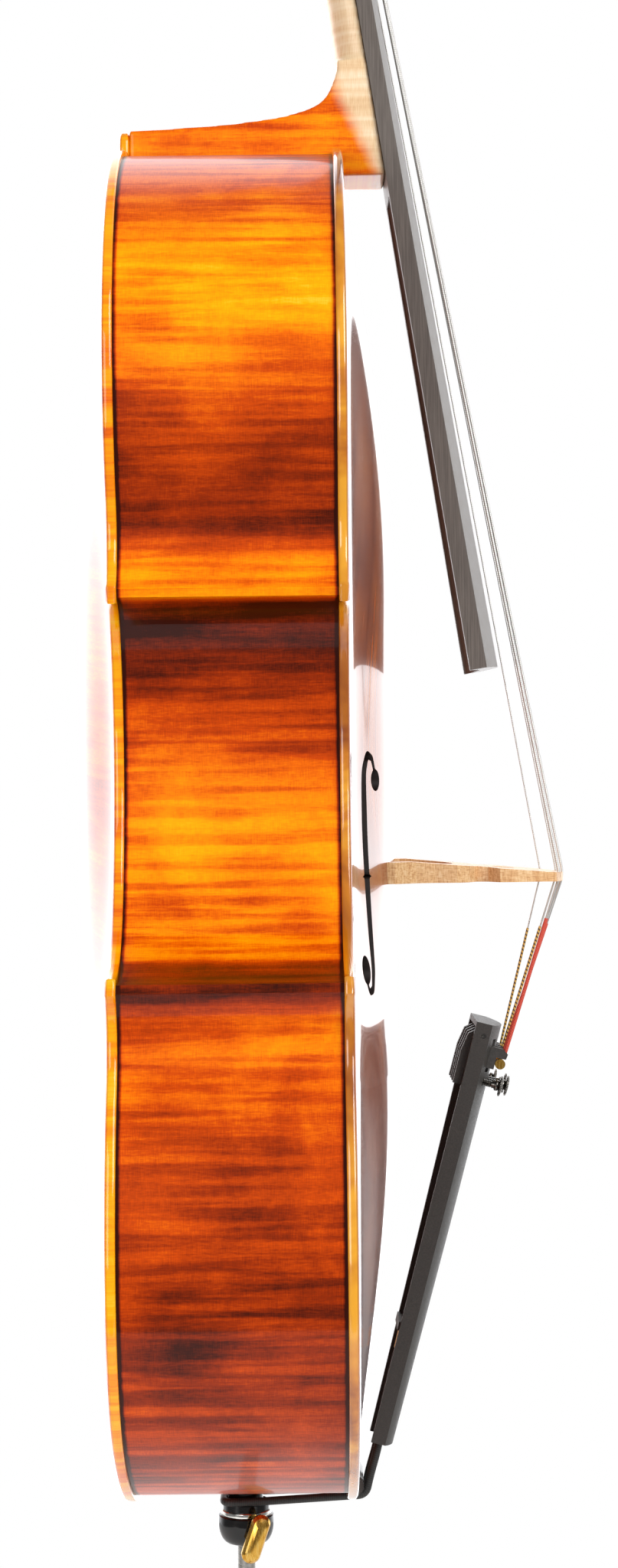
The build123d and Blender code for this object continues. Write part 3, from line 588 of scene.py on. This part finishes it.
def streaked(name, colours, scale, rough, bumpDepth=0.00008, **sockets):
    # a dark or metal surface with fine streaks of one scale per axis, in millimetres
    material, tree, shader = newMaterial(name, Roughness=rough, **sockets)
    place = addNode(tree, "ShaderNodeTexCoord").outputs["Object"]
    streak = pattern(tree, place, tuple(perMetre / s for s in scale), 4, 0.6)
    colour = rampStops(tree, streak, tuple(zip((0.3, 0.5, 0.7), colours)))
    tree.links.new(colour, shader.inputs["Base Color"])
    spread = remap(tree, streak, (0.3, 0.7), (rough * 0.8, rough * 1.25))
    tree.links.new(spread, shader.inputs["Roughness"])
    addBump(tree, shader, streak, bumpDepth, 0.4)
    return material


# The ribs carry painted light and shade: bright and dark bands along the body, and a painted shade band
# under the plates' edges.
ribMaple = varnishedMaple("varnished flamed maple ribs", 0.23, edges=True)
backMaple = varnishedMaple("varnished flamed maple back", 0.52, zoned=False, coat=1.0, goldEdge=True)
topSpruce = varnishedSpruce("varnished spruce")
# The cut walls of the sound holes, brown-black as painted shade of the hole's depth, so that they read as
# one line.
holeWallShade = streaked("blackened hole edge", ("140A06", "1C0E08", "26140B"), (1.5, 1.5, 1.5), 0.5)

hole = holeLoop()
otherHole = hole[::-1] * (-1, 1)
plate("topPlate", -1, topSpruce, ("top_plate",), (hole, otherHole))
plate("backPlate", 1, backMaple, ("back_plate",), button=True)
print("plates made")


# Cross-section of the inlaid line: distance from the edge, and height over the channel.
purflingShape = ((4.5, -0.5), (4.52, 0.05), (5.15, 0.07), (5.78, 0.05), (5.8, -0.5))


def purfling(name, side, material, nodes):
    # an inlaid strip that follows the edge, a hair proud of the channel
    strip = []
    for depth, lift in purflingShape:
        ring = inset(outline, depth)
        high = outerHeight(ring, edgeDistance(ring, outline)) + lift
        strip += [(p[0], side * h, p[1] + body["low"]) for p, h in zip(ring, high)]
    count, last = len(outline), (len(purflingShape) - 1) * len(outline)
    faces = ringFaces(len(purflingShape), count)
    faces += [(last + i, last + (i + 1) % count, (i + 1) % count, i) for i in range(count)]
    return outward(meshPiece(name, np.array(strip) * mm, faces, material, "body", nodes))


ribShape = dict(rows=9, flameShift=900)  # each rib's flame starts elsewhere in the pattern


def ribPiece(name, first, last, nodes):
    # a bent strip between two places of the outline, with the flame running along it
    rows = ribShape["rows"]
    outer, inner = inset(outline, body["overhang"]), inset(outline, body["overhang"] + body["ribThick"])
    total = len(outline)
    ids = [i % total for i in range(first, last + 1)]
    run = np.concatenate(([0], np.cumsum(np.linalg.norm(np.diff(outer[ids], axis=0), axis=1))))
    levels = np.linspace(-body["ribHalf"], body["ribHalf"], rows)
    verts, uv = [], []
    for ring in (outer, inner):
        for i, far in zip(ids, run):
            for y in levels:
                verts.append((ring[i][0], y, ring[i][1] + body["low"]))
                uv.append(((far + ribShape["flameShift"] * first) * mm, y * mm))
    count = len(ids)
    faces = []
    for i in range(count - 1):
        for k in range(rows - 1):
            a = i * rows + k
            b = a + rows
            faces.append((a, b, b + 1, a + 1))
            faces.append(tuple(count * rows + v for v in (a, a + 1, b + 1, b)))
        for k, flip in ((0, False), (rows - 1, True)):
            a, b = i * rows + k, (i + 1) * rows + k
            quad = (a, a + count * rows, b + count * rows, b)
            faces.append(quad[::-1] if flip else quad)
    for i in (0, count - 1):
        for k in range(rows - 1):
            a = i * rows + k
            faces.append((a, a + 1, a + 1 + count * rows, a + count * rows))
    piece = meshPiece(name, np.array(verts) * mm, faces, ribMaple, "body", nodes, uv)
    return outward(piece, 40)


ribRuns = (
    ("lowerTrebleRib", 0, lowCorner, "lower_treble_rib"),
    ("middleTrebleRib", lowCorner, highCorner, "middle_treble_rib"),
    ("upperTrebleRib", highCorner, topMiddle, "upper_treble_rib"),
    ("upperBassRib", topMiddle, len(outline) - highCorner, "upper_bass_rib"),
    ("middleBassRib", len(outline) - highCorner, len(outline) - lowCorner, "middle_bass_rib"),
    ("lowerBassRib", len(outline) - lowCorner, len(outline), "lower_bass_rib"),
)
for pieceName, first, last, node in ribRuns:
    ribPiece(pieceName, first, last, (node,))
print("ribs made")


plainWood = dict(across=12, grain=0.9, rise=4, fleck=(1.2, 5, 0.7), relief=0.0001)  # sizes in millimetres


def plainMaple(name, colours, stops, rough, flecks=0.5):
    # Maple left without varnish: pale, with short dark flecks and a dull sheen from handling.
    material, tree, shader = newMaterial(name, Roughness=rough)
    place = addNode(tree, "ShaderNodeTexCoord").outputs["Object"]
    sizes = (plainWood["across"], plainWood["grain"], plainWood["rise"])
    grain = pattern(tree, place, tuple(perMetre / s for s in sizes), 3, 0.6)
    fleck = pattern(tree, place, tuple(perMetre / s for s in plainWood["fleck"]), 2, 0.6)
    shade = weigh(tree, grain, 0.6, weigh(tree, fleck, flecks))
    colour = rampStops(tree, shade, tuple(zip(stops, colours)))
    tree.links.new(colour, shader.inputs["Base Color"])
    addBump(tree, shader, shade, plainWood["relief"], 0.4)
    return material


threadRelief = 0.0002  # metres


def twisted(name, first, second, pitch, rough, **sockets):
    # Thread or wire wound round a core: bands that follow the piece's own length and turn.
    material, tree, shader = newMaterial(name, Roughness=rough, **sockets)
    along = addNode(tree, "ShaderNodeTexCoord").outputs["UV"]
    placed = addNode(tree, "ShaderNodeMapping", values={"Scale": (perMetre / pitch, 1, 1)},
                     links={0: along})
    parts = axes(tree, placed.outputs[0])
    total = combine(tree, "ADD", parts[0], parts[1])
    wave = addNode(tree, "ShaderNodeMath", {"operation": "PINGPONG"}, {1: 0.5}, {0: total})
    colour = rampStops(tree, wave.outputs[0], ((0.1, first), (0.35, second)))
    tree.links.new(colour, shader.inputs["Base Color"])
    addBump(tree, shader, wave.outputs[0], threadRelief, 0.6)
    return material


# Ebony: near black, dense, with brown-grey streaks along the grain and a polished sheen.
ebony = streaked("oiled ebony", ("2A2624", "3C3633", "564D48"), (1.2, 1.2, 40), 0.3)
# Ebony of the fingerboard, greyer all over: partly dulled by the hand, partly a painted haze of light over
# the dark wood.
wornAndHazedEbony = streaked("rubbed ebony board with painted haze", ("5A524D", "665E58", "736A63"), (0.8, 0.8, 60), 0.38)
# Carbon-filled nylon: a matt dark moulding with a faint grain.
composite = streaked("moulded composite", ("33302E", "3B3835", "45413E"), (0.9, 0.9, 0.9), 0.55)
# Blackened steel: dark polished metal with soft highlights.
darkSteel = streaked("black chromed steel", ("4A4846", "66635F", "86827C"), (2, 2, 2), 0.24, Metallic=1.0)
# Brass: warm yellow metal, brushed and slightly tarnished.
brass = streaked("brushed brass", ("B98432", "D9A84C", "EBC878"), (1.5, 1.5, 6), 0.26, Metallic=1.0)
# Nickel plate: bright and faintly warm.
nickel = streaked("nickel plate", ("D2CFC8", "E6E4DE", "F2F0EC"), (3, 3, 3), 0.12, Metallic=1.0)
# Ground steel rod: fine rings round it blur what it reflects.
rodSteel = streaked("ground steel", ("8C8A86", "A8A5A0", "C0BDB8"), (8, 8, 0.6), 0.28, Metallic=1.0)
# Polished black acetal: deep gloss.
glossBlack = streaked("polished black acetal", ("0C0C0C", "121111", "1A1918"), (4, 4, 4), 0.12)
# Woven polymer cord: nearly black with a dull weave.
cordBlack = twisted("braided black cord", "1A1918", "2E2C2A", 1.2, 0.55)
# Flat-wound steel: silver, with dark lines between the turns that are painted shade in the seams, drawn
# coarser than the real tape.
woundSteel = twisted("flat-wound steel", "A8A6A2", "E2E0DC", 0.7, 0.3, Metallic=1.0)
# Red silk over the string's end: soft, slightly uneven thread.
redSilk = twisted("red silk thread", "B8352A", "E8604A", 0.8, 0.7)
# Gold and dark silk, twisted together.
goldSilk = twisted("gold and black silk", "4A3826", "E0B45A", 2.2, 0.65)
# Cut maple of the bridge: pale honey with short dark flecks.
bridgeMaple = plainMaple("bridge maple", ("C98F5C", "E6B882", "F2CFA0"), (0.4, 0.55, 0.7), 0.42)
# Willow and spruce inside the body: pale unvarnished wood.
innerWood = plainMaple("unvarnished willow", ("C8A272", "DDBC8C", "EACFA4"), (0.4, 0.55, 0.7), 0.6)
# Dyed wood of the purfling: a thin brown-black line.
dyedWood = streaked("dyed pearwood", ("140D09", "1E130D", "2A1B12"), (1, 1, 1), 0.35, Coat_Weight=0.5)

nodeMaterials = {
    "spruce": innerWood, "willow": innerWood, "ebony": ebony, "bridge_maple": bridgeMaple,
    "tailpiece_composite": composite, "tuner_steel": darkSteel, "brass": brass, "nickel": nickel,
    "socket_plastic": glossBlack, "rod_steel": rodSteel, "string_steel": woundSteel,
    "tailgut_cord": cordBlack, "purfling": dyedWood, "flamed_maple": ribMaple,
}
for nodeName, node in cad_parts.items():
    for place in node.material_slots:
        found = [m for key, m in nodeMaterials.items() if place.material and key in place.material.name]
        if nodeName == "fingerboard":
            found = [wornAndHazedEbony]
        if found:
            place.material = found[0]
purfling("topPurfling", -1, dyedWood, ("top_purfling",))
purfling("backPurfling", 1, dyedWood, ("back_purfling",))
print("materials made")


# Places on the neck and the tailpiece, in millimetres, from how far along and how far out.
neck = dict(tilt=math.radians(8.9), root=(-85, 1047), nut=283.2, boardRadius=62, boardTop=10.1,
            clear=1.2)
tail = dict(tilt=math.radians(14.5), top=(-133, 555), hook=17.2, hookOut=20.2)


def onNeck(up, back, x=0.0):
    s, c = math.sin(neck["tilt"]), math.cos(neck["tilt"])
    return Vector((x, neck["root"][0] + up * s + back * c, neck["root"][1] + up * c - back * s))


def onTail(down, back, x=0.0):
    s, c = math.sin(tail["tilt"]), math.cos(tail["tilt"])
    return Vector((x, tail["top"][0] + down * s + back * c, tail["top"][1] - down * c + back * s))


def rounded(points, radius, steps=8):
    # a run of straight lines with its bends eased
    points = [Vector(p) for p in points]
    path = [points[0]]
    for a, b, c in zip(points, points[1:], points[2:]):
        cut = min(radius, (b - a).length * 0.45, (c - b).length * 0.45)
        start, end = b + (a - b).normalized() * cut, b + (c - b).normalized() * cut
        for i in range(steps + 1):
            t = i / steps
            path.append(start * (1 - t) ** 2 + b * 2 * t * (1 - t) + end * t * t)
    return path + [points[-1]]


def portion(path, start, end):
    # the part of a path between two distances along it
    far, kept = 0.0, []
    for a, b in zip(path, path[1:]):
        length = (b - a).length
        if far + length >= start and far <= end:
            t0, t1 = max(0, (start - far) / length), min(1, (end - far) / length)
            if not kept:
                kept.append(a.lerp(b, t0))
            kept.append(a.lerp(b, t1))
        far += length
    return kept


def tube(name, path, radius, material, nodes=(), onBody="body", sides=14):
    # a round tube with closed ends along a path; radius may be a function of the distance
    path = [p for i, p in enumerate(path) if i == 0 or (p - path[i - 1]).length > 0.02]
    verts, uv, far = [], [], 0.0
    frameUp = None
    for i, p in enumerate(path):
        way = (path[min(i + 1, len(path) - 1)] - path[max(i - 1, 0)]).normalized()
        if frameUp is None:
            frameUp = way.orthogonal().normalized()
        frameUp = (frameUp - way * frameUp.dot(way)).normalized()
        aside = way.cross(frameUp)
        if i:
            far += (p - path[i - 1]).length
        r = radius(far) if callable(radius) else radius
        verts += circle(p, frameUp, aside, r, sides)
        uv += [(far * mm, k / sides) for k in range(sides)]
    faces = solidFaces(len(path), sides)
    return outward(meshPiece(name, verts, faces, material, onBody, nodes, uv), 60)


# The four strings, bass to treble: place on the bridge, how far out, radius, place on the nut,
# and the peg that each one winds on.
strings = dict(
    c=dict(x=-23.5, out=180.6, radius=0.85, nutX=-11, peg=(308, 15), silk=redSilk, tailX=-18.75),
    g=dict(x=-7.9, out=184.0, radius=0.7, nutX=-3.7, peg=(361, 22), silk=redSilk, tailX=-6.25),
    d=dict(x=7.9, out=181.8, radius=0.55, nutX=3.7, peg=(388, 25), silk=goldSilk, tailX=6.25),
    a=dict(x=23.5, out=174.0, radius=0.45, nutX=11, peg=(333, 18), silk=goldSilk, tailX=18.75),
)
stringPath = dict(bridge=636, pegDown=3, pegOut=9.8, pegInwards=0.6, bend=5)
# The silk: how much of each end it covers, and how far it stands off the wire.
silk = dict(tail=78, slant=0.2, tailEnd=2, tailWall=0.28, peg=285, share=0.9, pegEnd=0.5, pegWall=0.2)
for key, s in strings.items():
    curve = math.sqrt(neck["boardRadius"] ** 2 - s["nutX"] ** 2)
    nutOut = neck["boardTop"] - neck["boardRadius"] + curve + neck["clear"]
    pegUp, pegOut = s["peg"]
    route = rounded((
        onNeck(pegUp - stringPath["pegDown"], pegOut - stringPath["pegOut"],
               s["nutX"] * stringPath["pegInwards"]),
        onNeck(neck["nut"], -nutOut, s["nutX"]), (s["x"], -s["out"], stringPath["bridge"]),
        onTail(tail["hook"], -tail["hookOut"], s["tailX"])), stringPath["bend"])
    total = sum((b - a).length for a, b in zip(route, route[1:]))
    tube("string" + key.upper(), route, s["radius"], woundSteel, ("string_" + key,))
    tailStart = total - silk["tail"] + s["x"] * silk["slant"]
    for place, start, end, wall in (
            ("Tail", tailStart, total - silk["tailEnd"], silk["tailWall"]),
            ("Peg", silk["pegEnd"], (pegUp - silk["peg"]) * silk["share"], silk["pegWall"])):
        tube("silkAt" + place + key.upper(), portion(route, start, end), s["radius"] + wall, s["silk"])

# Tailgut: one loop of cord from the tailpiece's web over the saddle and round the endpin's socket.
gut = dict(
    radius=2.3, bend=9, sides=20, low=290, tail=((196.3, -3.8, 7.5), (222, -3.5, 7.5)),
    pin=((7.5, -75.3, 22), (8, -70.6, 6), (8.6, -68.2, -4.2), (12.2, 0, -7), (12.2, 12.2, -7)),
)
half = [onTail(*p) for p in gut["tail"]] + [Vector((x, y, gut["low"] + z)) for x, y, z in gut["pin"]]
gutRoute = rounded(half + [Vector((-p.x, p.y, p.z)) for p in reversed(half)], gut["bend"])
tube("tailgut", gutRoute, gut["radius"], cordBlack, ("tailgut",), sides=gut["sides"])
print("strings made")


def carved(name, node, voxel, smoothing, material, onBody="body"):
    # the CAD shape made one continuous skin with its edges eased, as a carver's knife leaves it
    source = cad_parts[node]
    mesh = source.data.copy()
    made = bmesh.new()
    made.from_mesh(mesh)
    bmesh.ops.remove_doubles(made, verts=made.verts, dist=1e-6)
    made.to_mesh(mesh)
    made.free()
    piece = addObject(name, mesh)
    skin = piece.modifiers.new("skin", "REMESH")
    skin.mode, skin.voxel_size = "VOXEL", voxel * mm
    ease = piece.modifiers.new("ease", "SMOOTH")
    ease.factor, ease.iterations = 0.5, smoothing
    result = frozen(piece)
    result.materials.clear()
    result.materials.append(material)
    result.polygons.foreach_set("use_smooth", [True] * len(result.polygons))
    spots = np.zeros(len(result.vertices) * 3)
    result.vertices.foreach_get("co", spots)
    spots = spots.reshape(-1, 3)
    layer = result.uv_layers.new(name="along")
    index = np.zeros(len(result.loops), int)
    result.loops.foreach_get("vertex_index", index)
    layer.data.foreach_set("uv", spots[:, [2, 1]][index].ravel())
    return settle(piece, onBody, (node,))


bareShape = dict(ragged=0.016, scale=60, slant=-2.1, low=(1.202, 1.227), high=(1.315, 1.335))  # metres


def bareNeck(tree, place):
    # where the neck is left bare for the hand: from above the heel to below the nut
    parts = axes(tree, place)
    marks = pattern(tree, place, (bareShape["scale"],) * 3, 3)
    ragged = weigh(tree, marks, bareShape["ragged"], parts["Z"])
    slanted = weigh(tree, parts["Y"], bareShape["slant"], ragged)
    low = remap(tree, slanted, bareShape["low"], (0.0, 1.0), smooth=True)
    high = remap(tree, ragged, bareShape["high"], (1.0, 0.0), smooth=True)
    return combine(tree, "MULTIPLY", low, high)


neckMaple = varnishedMaple("neck maple, part bare", 0.40, zoned=False, coat=0.35, bare=bareNeck)
carved("neck", "neck", 1.25, 6, neckMaple)
print("neck made")


def lathe(name, profile, origin, axis, material, nodes=(), onBody="body", segments=72):
    # a turned piece: profile of (radius, distance along the axis) in millimetres
    axis = Vector(axis).normalized()
    first = axis.orthogonal().normalized()
    second = axis.cross(first)
    verts = []
    for r, along in profile:
        verts += circle(Vector(origin) + axis * along, first, second, r, segments)
    faces = (ringFaces if profile[0] == profile[-1] else solidFaces)(len(profile), segments)
    return outward(meshPiece(name, verts, faces, material, onBody, nodes), 40)


# Endpin: the socket's plug and the bright ring, as radius and height over the body's lower end. The
# plug ends in a bowl: its rim's radius and height, how far it draws in and how deep it goes.
endpinShape = dict(
    plug=((5.06, 46), (9.8, 46), (12, 42), (12, 3.5), (9.8, 3.5), (9.8, -9.3), (12.9, -9.5), (13.4, -10),
          (13.4, -14), (11, -14), (11, -17), (15.2, -17), (15.7, -17.4)),
    bowl=(16.0, -20.5, 6.2, 12.5), bowlSteps=14, bore=((5.06, -33), (5.06, 46)), segments=96,
    ring=((11, -17), (13.8, -17), (14.25, -16.6), (14.4, -15.5), (14.25, -14.4), (13.8, -14), (11, -14),
          (11, -17)),
)
rim, top, inwards, deep = endpinShape["bowl"]
bowl = tuple((rim - inwards * (1 - math.cos(t)), top - deep * math.sin(t))
             for t in np.linspace(0, math.pi / 2, endpinShape["bowlSteps"]))
for pieceName, shape, material, slotName, node in (
        ("endpinSocket", endpinShape["plug"] + bowl + endpinShape["bore"], glossBlack, "socket_plastic",
         "endpin_socket"),
        ("endpinRing", endpinShape["ring"], nickel, "nickel", "endpin_ring")):
    lathe(pieceName, shape, (0, 0, body["low"]), (0, 0, 1), material, (node,),
          segments=endpinShape["segments"])

# The key that clamps the rod: layers of a waisted wing (height, and how much narrower and shorter),
# then a shaft (distance out, and radius).
keyShape = dict(
    height=265, turn=15, tilt=-20, wing=21.0, long=28.0, wide=11.0, flat=0.98, waist=0.16, waistLong=5.0,
    layers=((0.0, 0.35, 1.6), (0.7, 0, 0), (2.2, 0, 0), (4.2, 1.2, 0.8), (5.5, 3.4, 3.2)), taper=0.6,
    shaft=((5.1, 2.0), (5.5, 2.4), (19.2, 2.4), (19.6, 3.6), (21.2, 3.6)), sides=48,
)


def wingKey():
    key, upwards = keyShape, Vector((0, 0, 1))
    turn, tilt = math.radians(key["turn"]), math.radians(key["tilt"])
    out = Vector((-math.cos(turn), -math.sin(turn), 0))
    longWay = upwards * math.cos(tilt) + out.cross(upwards) * math.sin(tilt)
    wideWay = out.cross(longWay)
    centre = Vector((0, 0, key["height"]))
    verts, sides = [], key["sides"]
    for along, cutWide, cutLong in key["layers"]:
        r = key["wide"] / 2 - cutWide
        reach = (key["long"] - key["wide"]) / 2 - cutLong * key["taper"]
        for k in range(sides):
            a = 2 * math.pi * k / sides
            x, y = r * math.cos(a) * key["flat"], r * math.sin(a)
            x += math.copysign(reach, math.cos(a))
            y *= 1 - key["waist"] * math.exp(-(x / key["waistLong"]) ** 2)
            verts.append((centre + out * (key["wing"] + along) + longWay * x + wideWay * y) * mm)
    faces = solidFaces(len(key["layers"]), sides)
    faces += solidFaces(len(key["shaft"]), sides, len(verts))
    for along, r in key["shaft"]:
        verts += circle(centre + out * along, longWay, wideWay, r, sides)
    piece = meshPiece("clampKey", verts, faces, brass, "endpin_screw", ("endpin_screw",))
    return outward(piece, 28)


wingKey()
print("endpin made")


def frozenNodes(name, tree, sizes, onBody, nodes=()):
    # runs a Geometry Nodes tree with the named sizes and keeps its result as a plain mesh
    piece = addObject(name, bpy.data.meshes.new(name))
    modifier = piece.modifiers.new(name, "NODES")
    modifier.node_group = tree
    for socket in tree.interface.items_tree:
        if socket.in_out == "INPUT" and socket.name in sizes:
            modifier[socket.identifier] = sizes[socket.name]
    frozen(piece)
    return settle(piece, onBody, nodes)


def nodeTree(name, inputs):
    tree = bpy.data.node_groups.new(name, "GeometryNodeTree")
    tree.interface.new_socket("Geometry", in_out="OUTPUT", socket_type="NodeSocketGeometry")
    for label, kind in inputs:
        tree.interface.new_socket(label, in_out="INPUT", socket_type="NodeSocket" + kind)
    return tree, addNode(tree, "NodeGroupInput").outputs, addNode(tree, "NodeGroupOutput")


def finishTree(tree, geometry, material, result):
    # real points with a material on them, sent out of the tree
    real = addNode(tree, "GeometryNodeRealizeInstances", links={"Geometry": geometry.outputs[0]})
    painted = addNode(tree, "GeometryNodeSetMaterial", values={"Material": material},
                      links={"Geometry": real.outputs[0]})
    tree.links.new(painted.outputs[0], result.inputs[0])
    return tree


def turnsTree(material):
    # a string wound round a peg
    tree, given, result = nodeTree("string turns", (
        ("Turns", "Float"), ("Coil Radius", "Float"), ("Length", "Float"), ("Wire Radius", "Float"),
        ("Centre", "Vector")))
    coil = addNode(tree, "GeometryNodeCurveSpiral", values={"Resolution": 40}, links={
        "Rotations": given["Turns"], "Height": given["Length"],
        "Start Radius": given["Coil Radius"], "End Radius": given["Coil Radius"]})
    wire = addNode(tree, "GeometryNodeCurvePrimitiveCircle", values={"Resolution": 10},
                   links={"Radius": given["Wire Radius"]})
    solid = addNode(tree, "GeometryNodeCurveToMesh", values={"Fill Caps": True},
                    links={"Curve": coil.outputs[0], "Profile Curve": wire.outputs[0]})
    laid = addNode(tree, "GeometryNodeTransform", values={"Rotation": (0, math.pi / 2, 0)},
                   links={"Geometry": solid.outputs[0], "Translation": given["Centre"]})
    return finishTree(tree, laid, material, result)


# Silk on the peg: dull wound thread, red on the low strings.
pegSilk = streaked("wound red silk", ("8E2A20", "B83C2E", "D85C48"), (0.5, 2, 2), 0.7)
woundTurns = turnsTree(pegSilk)
coilPitch = 2.05  # times the wire's radius
for key, s in strings.items():
    low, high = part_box("string_winding_" + key)
    centre, long = (low + high) / 2, (high.x - low.x)
    wire = (s["radius"] + silk["pegWall"]) * mm
    turns = max(2.0, math.floor((long - 2 * wire) / (coilPitch * wire)))
    run = turns * coilPitch * wire
    frozenNodes("pegTurns" + key.upper(), woundTurns, {
        "Turns": turns, "Coil Radius": (high.z - low.z) / 2 - wire, "Length": run, "Wire Radius": wire,
        "Centre": (centre.x - run / 2, centre.y, centre.z)},
        "peg_" + key, ("string_winding_" + key,))
print("peg windings made")


# Fine tuners: a turned thumb screw with a ridged rim on each lever. Its shape is in radius and place:
# the tip from below, the thread's crests and roots by pitch, and the head from the top down.
tuner = dict(
    at=33, heads=dict(c=23, g=27.5, d=27, a=22), rim=5.3, ridges=36, ridge=0.34, ridgeLong=1.3,
    ridgeScale=(1.0, 1.0, 0.7), ridgeDown=0.85, tip=((1.75, 0.1), (2.0, 0.4)), pitch=0.8,
    thread=((2.0, 0.5), (1.72, 0.9)), threadDown=6,
    head=((2.0, 5), (2.2, 4.2), (3.0, 3.9), (3.2, 3.3), (3.0, 2.4), (2.6, 2.0), (2.8, 1.75), (5.0, 1.62),
          (5.3, 1.35), (5.3, 0.35), (5.0, 0.08), (4.2, 0.02), (3.6, 0.35), (1.2, 0.5)),
)


def knurlTree(material):
    # small ridges set in a ring, for the rim of a thumb screw
    tree, given, result = nodeTree("thumb ridges", (
        ("Count", "Int"), ("Radius", "Float"), ("Ridge", "Vector"), ("Centre", "Vector"),
        ("Turn", "Vector")))
    ring = addNode(tree, "GeometryNodeMeshCircle",
                   links={"Vertices": given["Count"], "Radius": given["Radius"]})
    ridge = addNode(tree, "GeometryNodeMeshCylinder", values={
        "Vertices": 8, "Radius": tuner["ridge"] * mm, "Depth": tuner["ridgeLong"] * mm})
    spread = addNode(tree, "GeometryNodeInstanceOnPoints", links={
        "Points": ring.outputs[0], "Instance": ridge.outputs[0], "Scale": given["Ridge"]})
    laid = addNode(tree, "GeometryNodeTransform", links={
        "Geometry": spread.outputs[0], "Translation": given["Centre"], "Rotation": given["Turn"]})
    return finishTree(tree, laid, material, result)


ridges = knurlTree(darkSteel)
outwards = (onTail(0, -1) - onTail(0, 0)).normalized()
for key, s in strings.items():
    head = tuner["heads"][key]
    base = onTail(tuner["at"], 0, s["tailX"])
    crests = range(int((head - tuner["threadDown"]) / tuner["pitch"]))
    screwShape = list(tuner["tip"])
    screwShape += [(r, at + step * tuner["pitch"]) for step in crests for r, at in tuner["thread"]]
    screwShape += [(r, head - down) for r, down in tuner["head"]]
    screwName = "tuner_screw_" + key
    lathe("tunerScrew" + key.upper(), screwShape, base, outwards, darkSteel,
          (screwName,), screwName, 40)
    spot = (base + outwards * (head - tuner["ridgeDown"])) * mm
    turn = outwards.to_track_quat("Z", "Y").to_euler()
    frozenNodes("tunerRidges" + key.upper(), ridges, {
        "Count": tuner["ridges"], "Radius": tuner["rim"] * mm, "Ridge": tuner["ridgeScale"],
        "Centre": tuple(spot), "Turn": tuple(turn)}, screwName)
print("tuners made")


# Lights by name, place, height of their aim, width and power, in metres and watts. The world's glow
# runs from a dim room to a bright white backdrop on the treble side, which the glossy arches mirror.
studio = dict(
    floorSize=1.6, roll=0.65, lens=61.6, eye=(-1.530, -0.0405, 0.689),
    lights=(("keyLight", (-1.9, -1.7, 1.9), 0.7, 1.5, 54), ("fillLight", (-2.2, 1.3, 1.0), 0.7, 1.6, 30),
            ("backLight", (1.6, 1.4, 1.8), 0.8, 1.2, 10)),
    glowSpan=(0.1, 0.85), glow=(0.24, 2.6),
)
for name, place, aimHeight, width, power in studio["lights"]:
    light = bpy.data.lights.new(name, "AREA")
    light.shape, light.size, light.energy = "SQUARE", width, power
    lamp = addObject(name, light)
    lamp.location = place
    lamp.rotation_euler = (Vector((0, 0, aimHeight)) - Vector(place)).to_track_quat("-Z", "Y").to_euler()

world = bpy.data.worlds.new("studio")
bpy.context.scene.world = world
world.use_nodes = True
sky = world.node_tree
sky.nodes.clear()
around = addNode(sky, "ShaderNodeTexCoord").outputs["Generated"]
glow = remap(sky, axes(sky, around)["X"], studio["glowSpan"], studio["glow"], smooth=True)
soft = addNode(sky, "ShaderNodeBackground", values={0: linear("F8F9FB")}, links={1: glow})
seen = addNode(sky, "ShaderNodeBackground", values={0: (1, 1, 1, 1), 1: 1.0})
ray = addNode(sky, "ShaderNodeLightPath")
both = addNode(sky, "ShaderNodeMixShader", links={0: ray.outputs["Is Camera Ray"],
                                                  1: soft.outputs[0], 2: seen.outputs[0]})
addNode(sky, "ShaderNodeOutputWorld", links={0: both.outputs[0]})

half = studio["floorSize"] / 2
floorMesh = bpy.data.meshes.new("floor")
floorMesh.from_pydata([(-half, -half, 0), (half, -half, 0), (half, half, 0), (-half, half, 0)], [],
                      [(0, 1, 2, 3)])
floorPaint, _, _ = newMaterial("matt white paint", Base_Color=linear("F2F2F0"), Roughness=0.8)
floorMesh.materials.append(floorPaint)
addObject("floor", floorMesh)

turn = math.radians(studio["roll"])
lens = bpy.data.cameras.new("camera")
lens.sensor_fit, lens.sensor_height, lens.sensor_width = "VERTICAL", 36, 36
lens.lens = studio["lens"]
camera = addObject("camera", lens)
right = Vector((0, -math.cos(turn), -math.sin(turn)))
up = Vector((0, -math.sin(turn), math.cos(turn)))
camera.matrix_world = Matrix.Translation(studio["eye"]) @ Matrix(
    (right, up, Vector((-1, 0, 0)))).transposed().to_4x4()
bpy.context.scene.camera = camera
bpy.context.scene.view_settings.view_transform = "Standard"
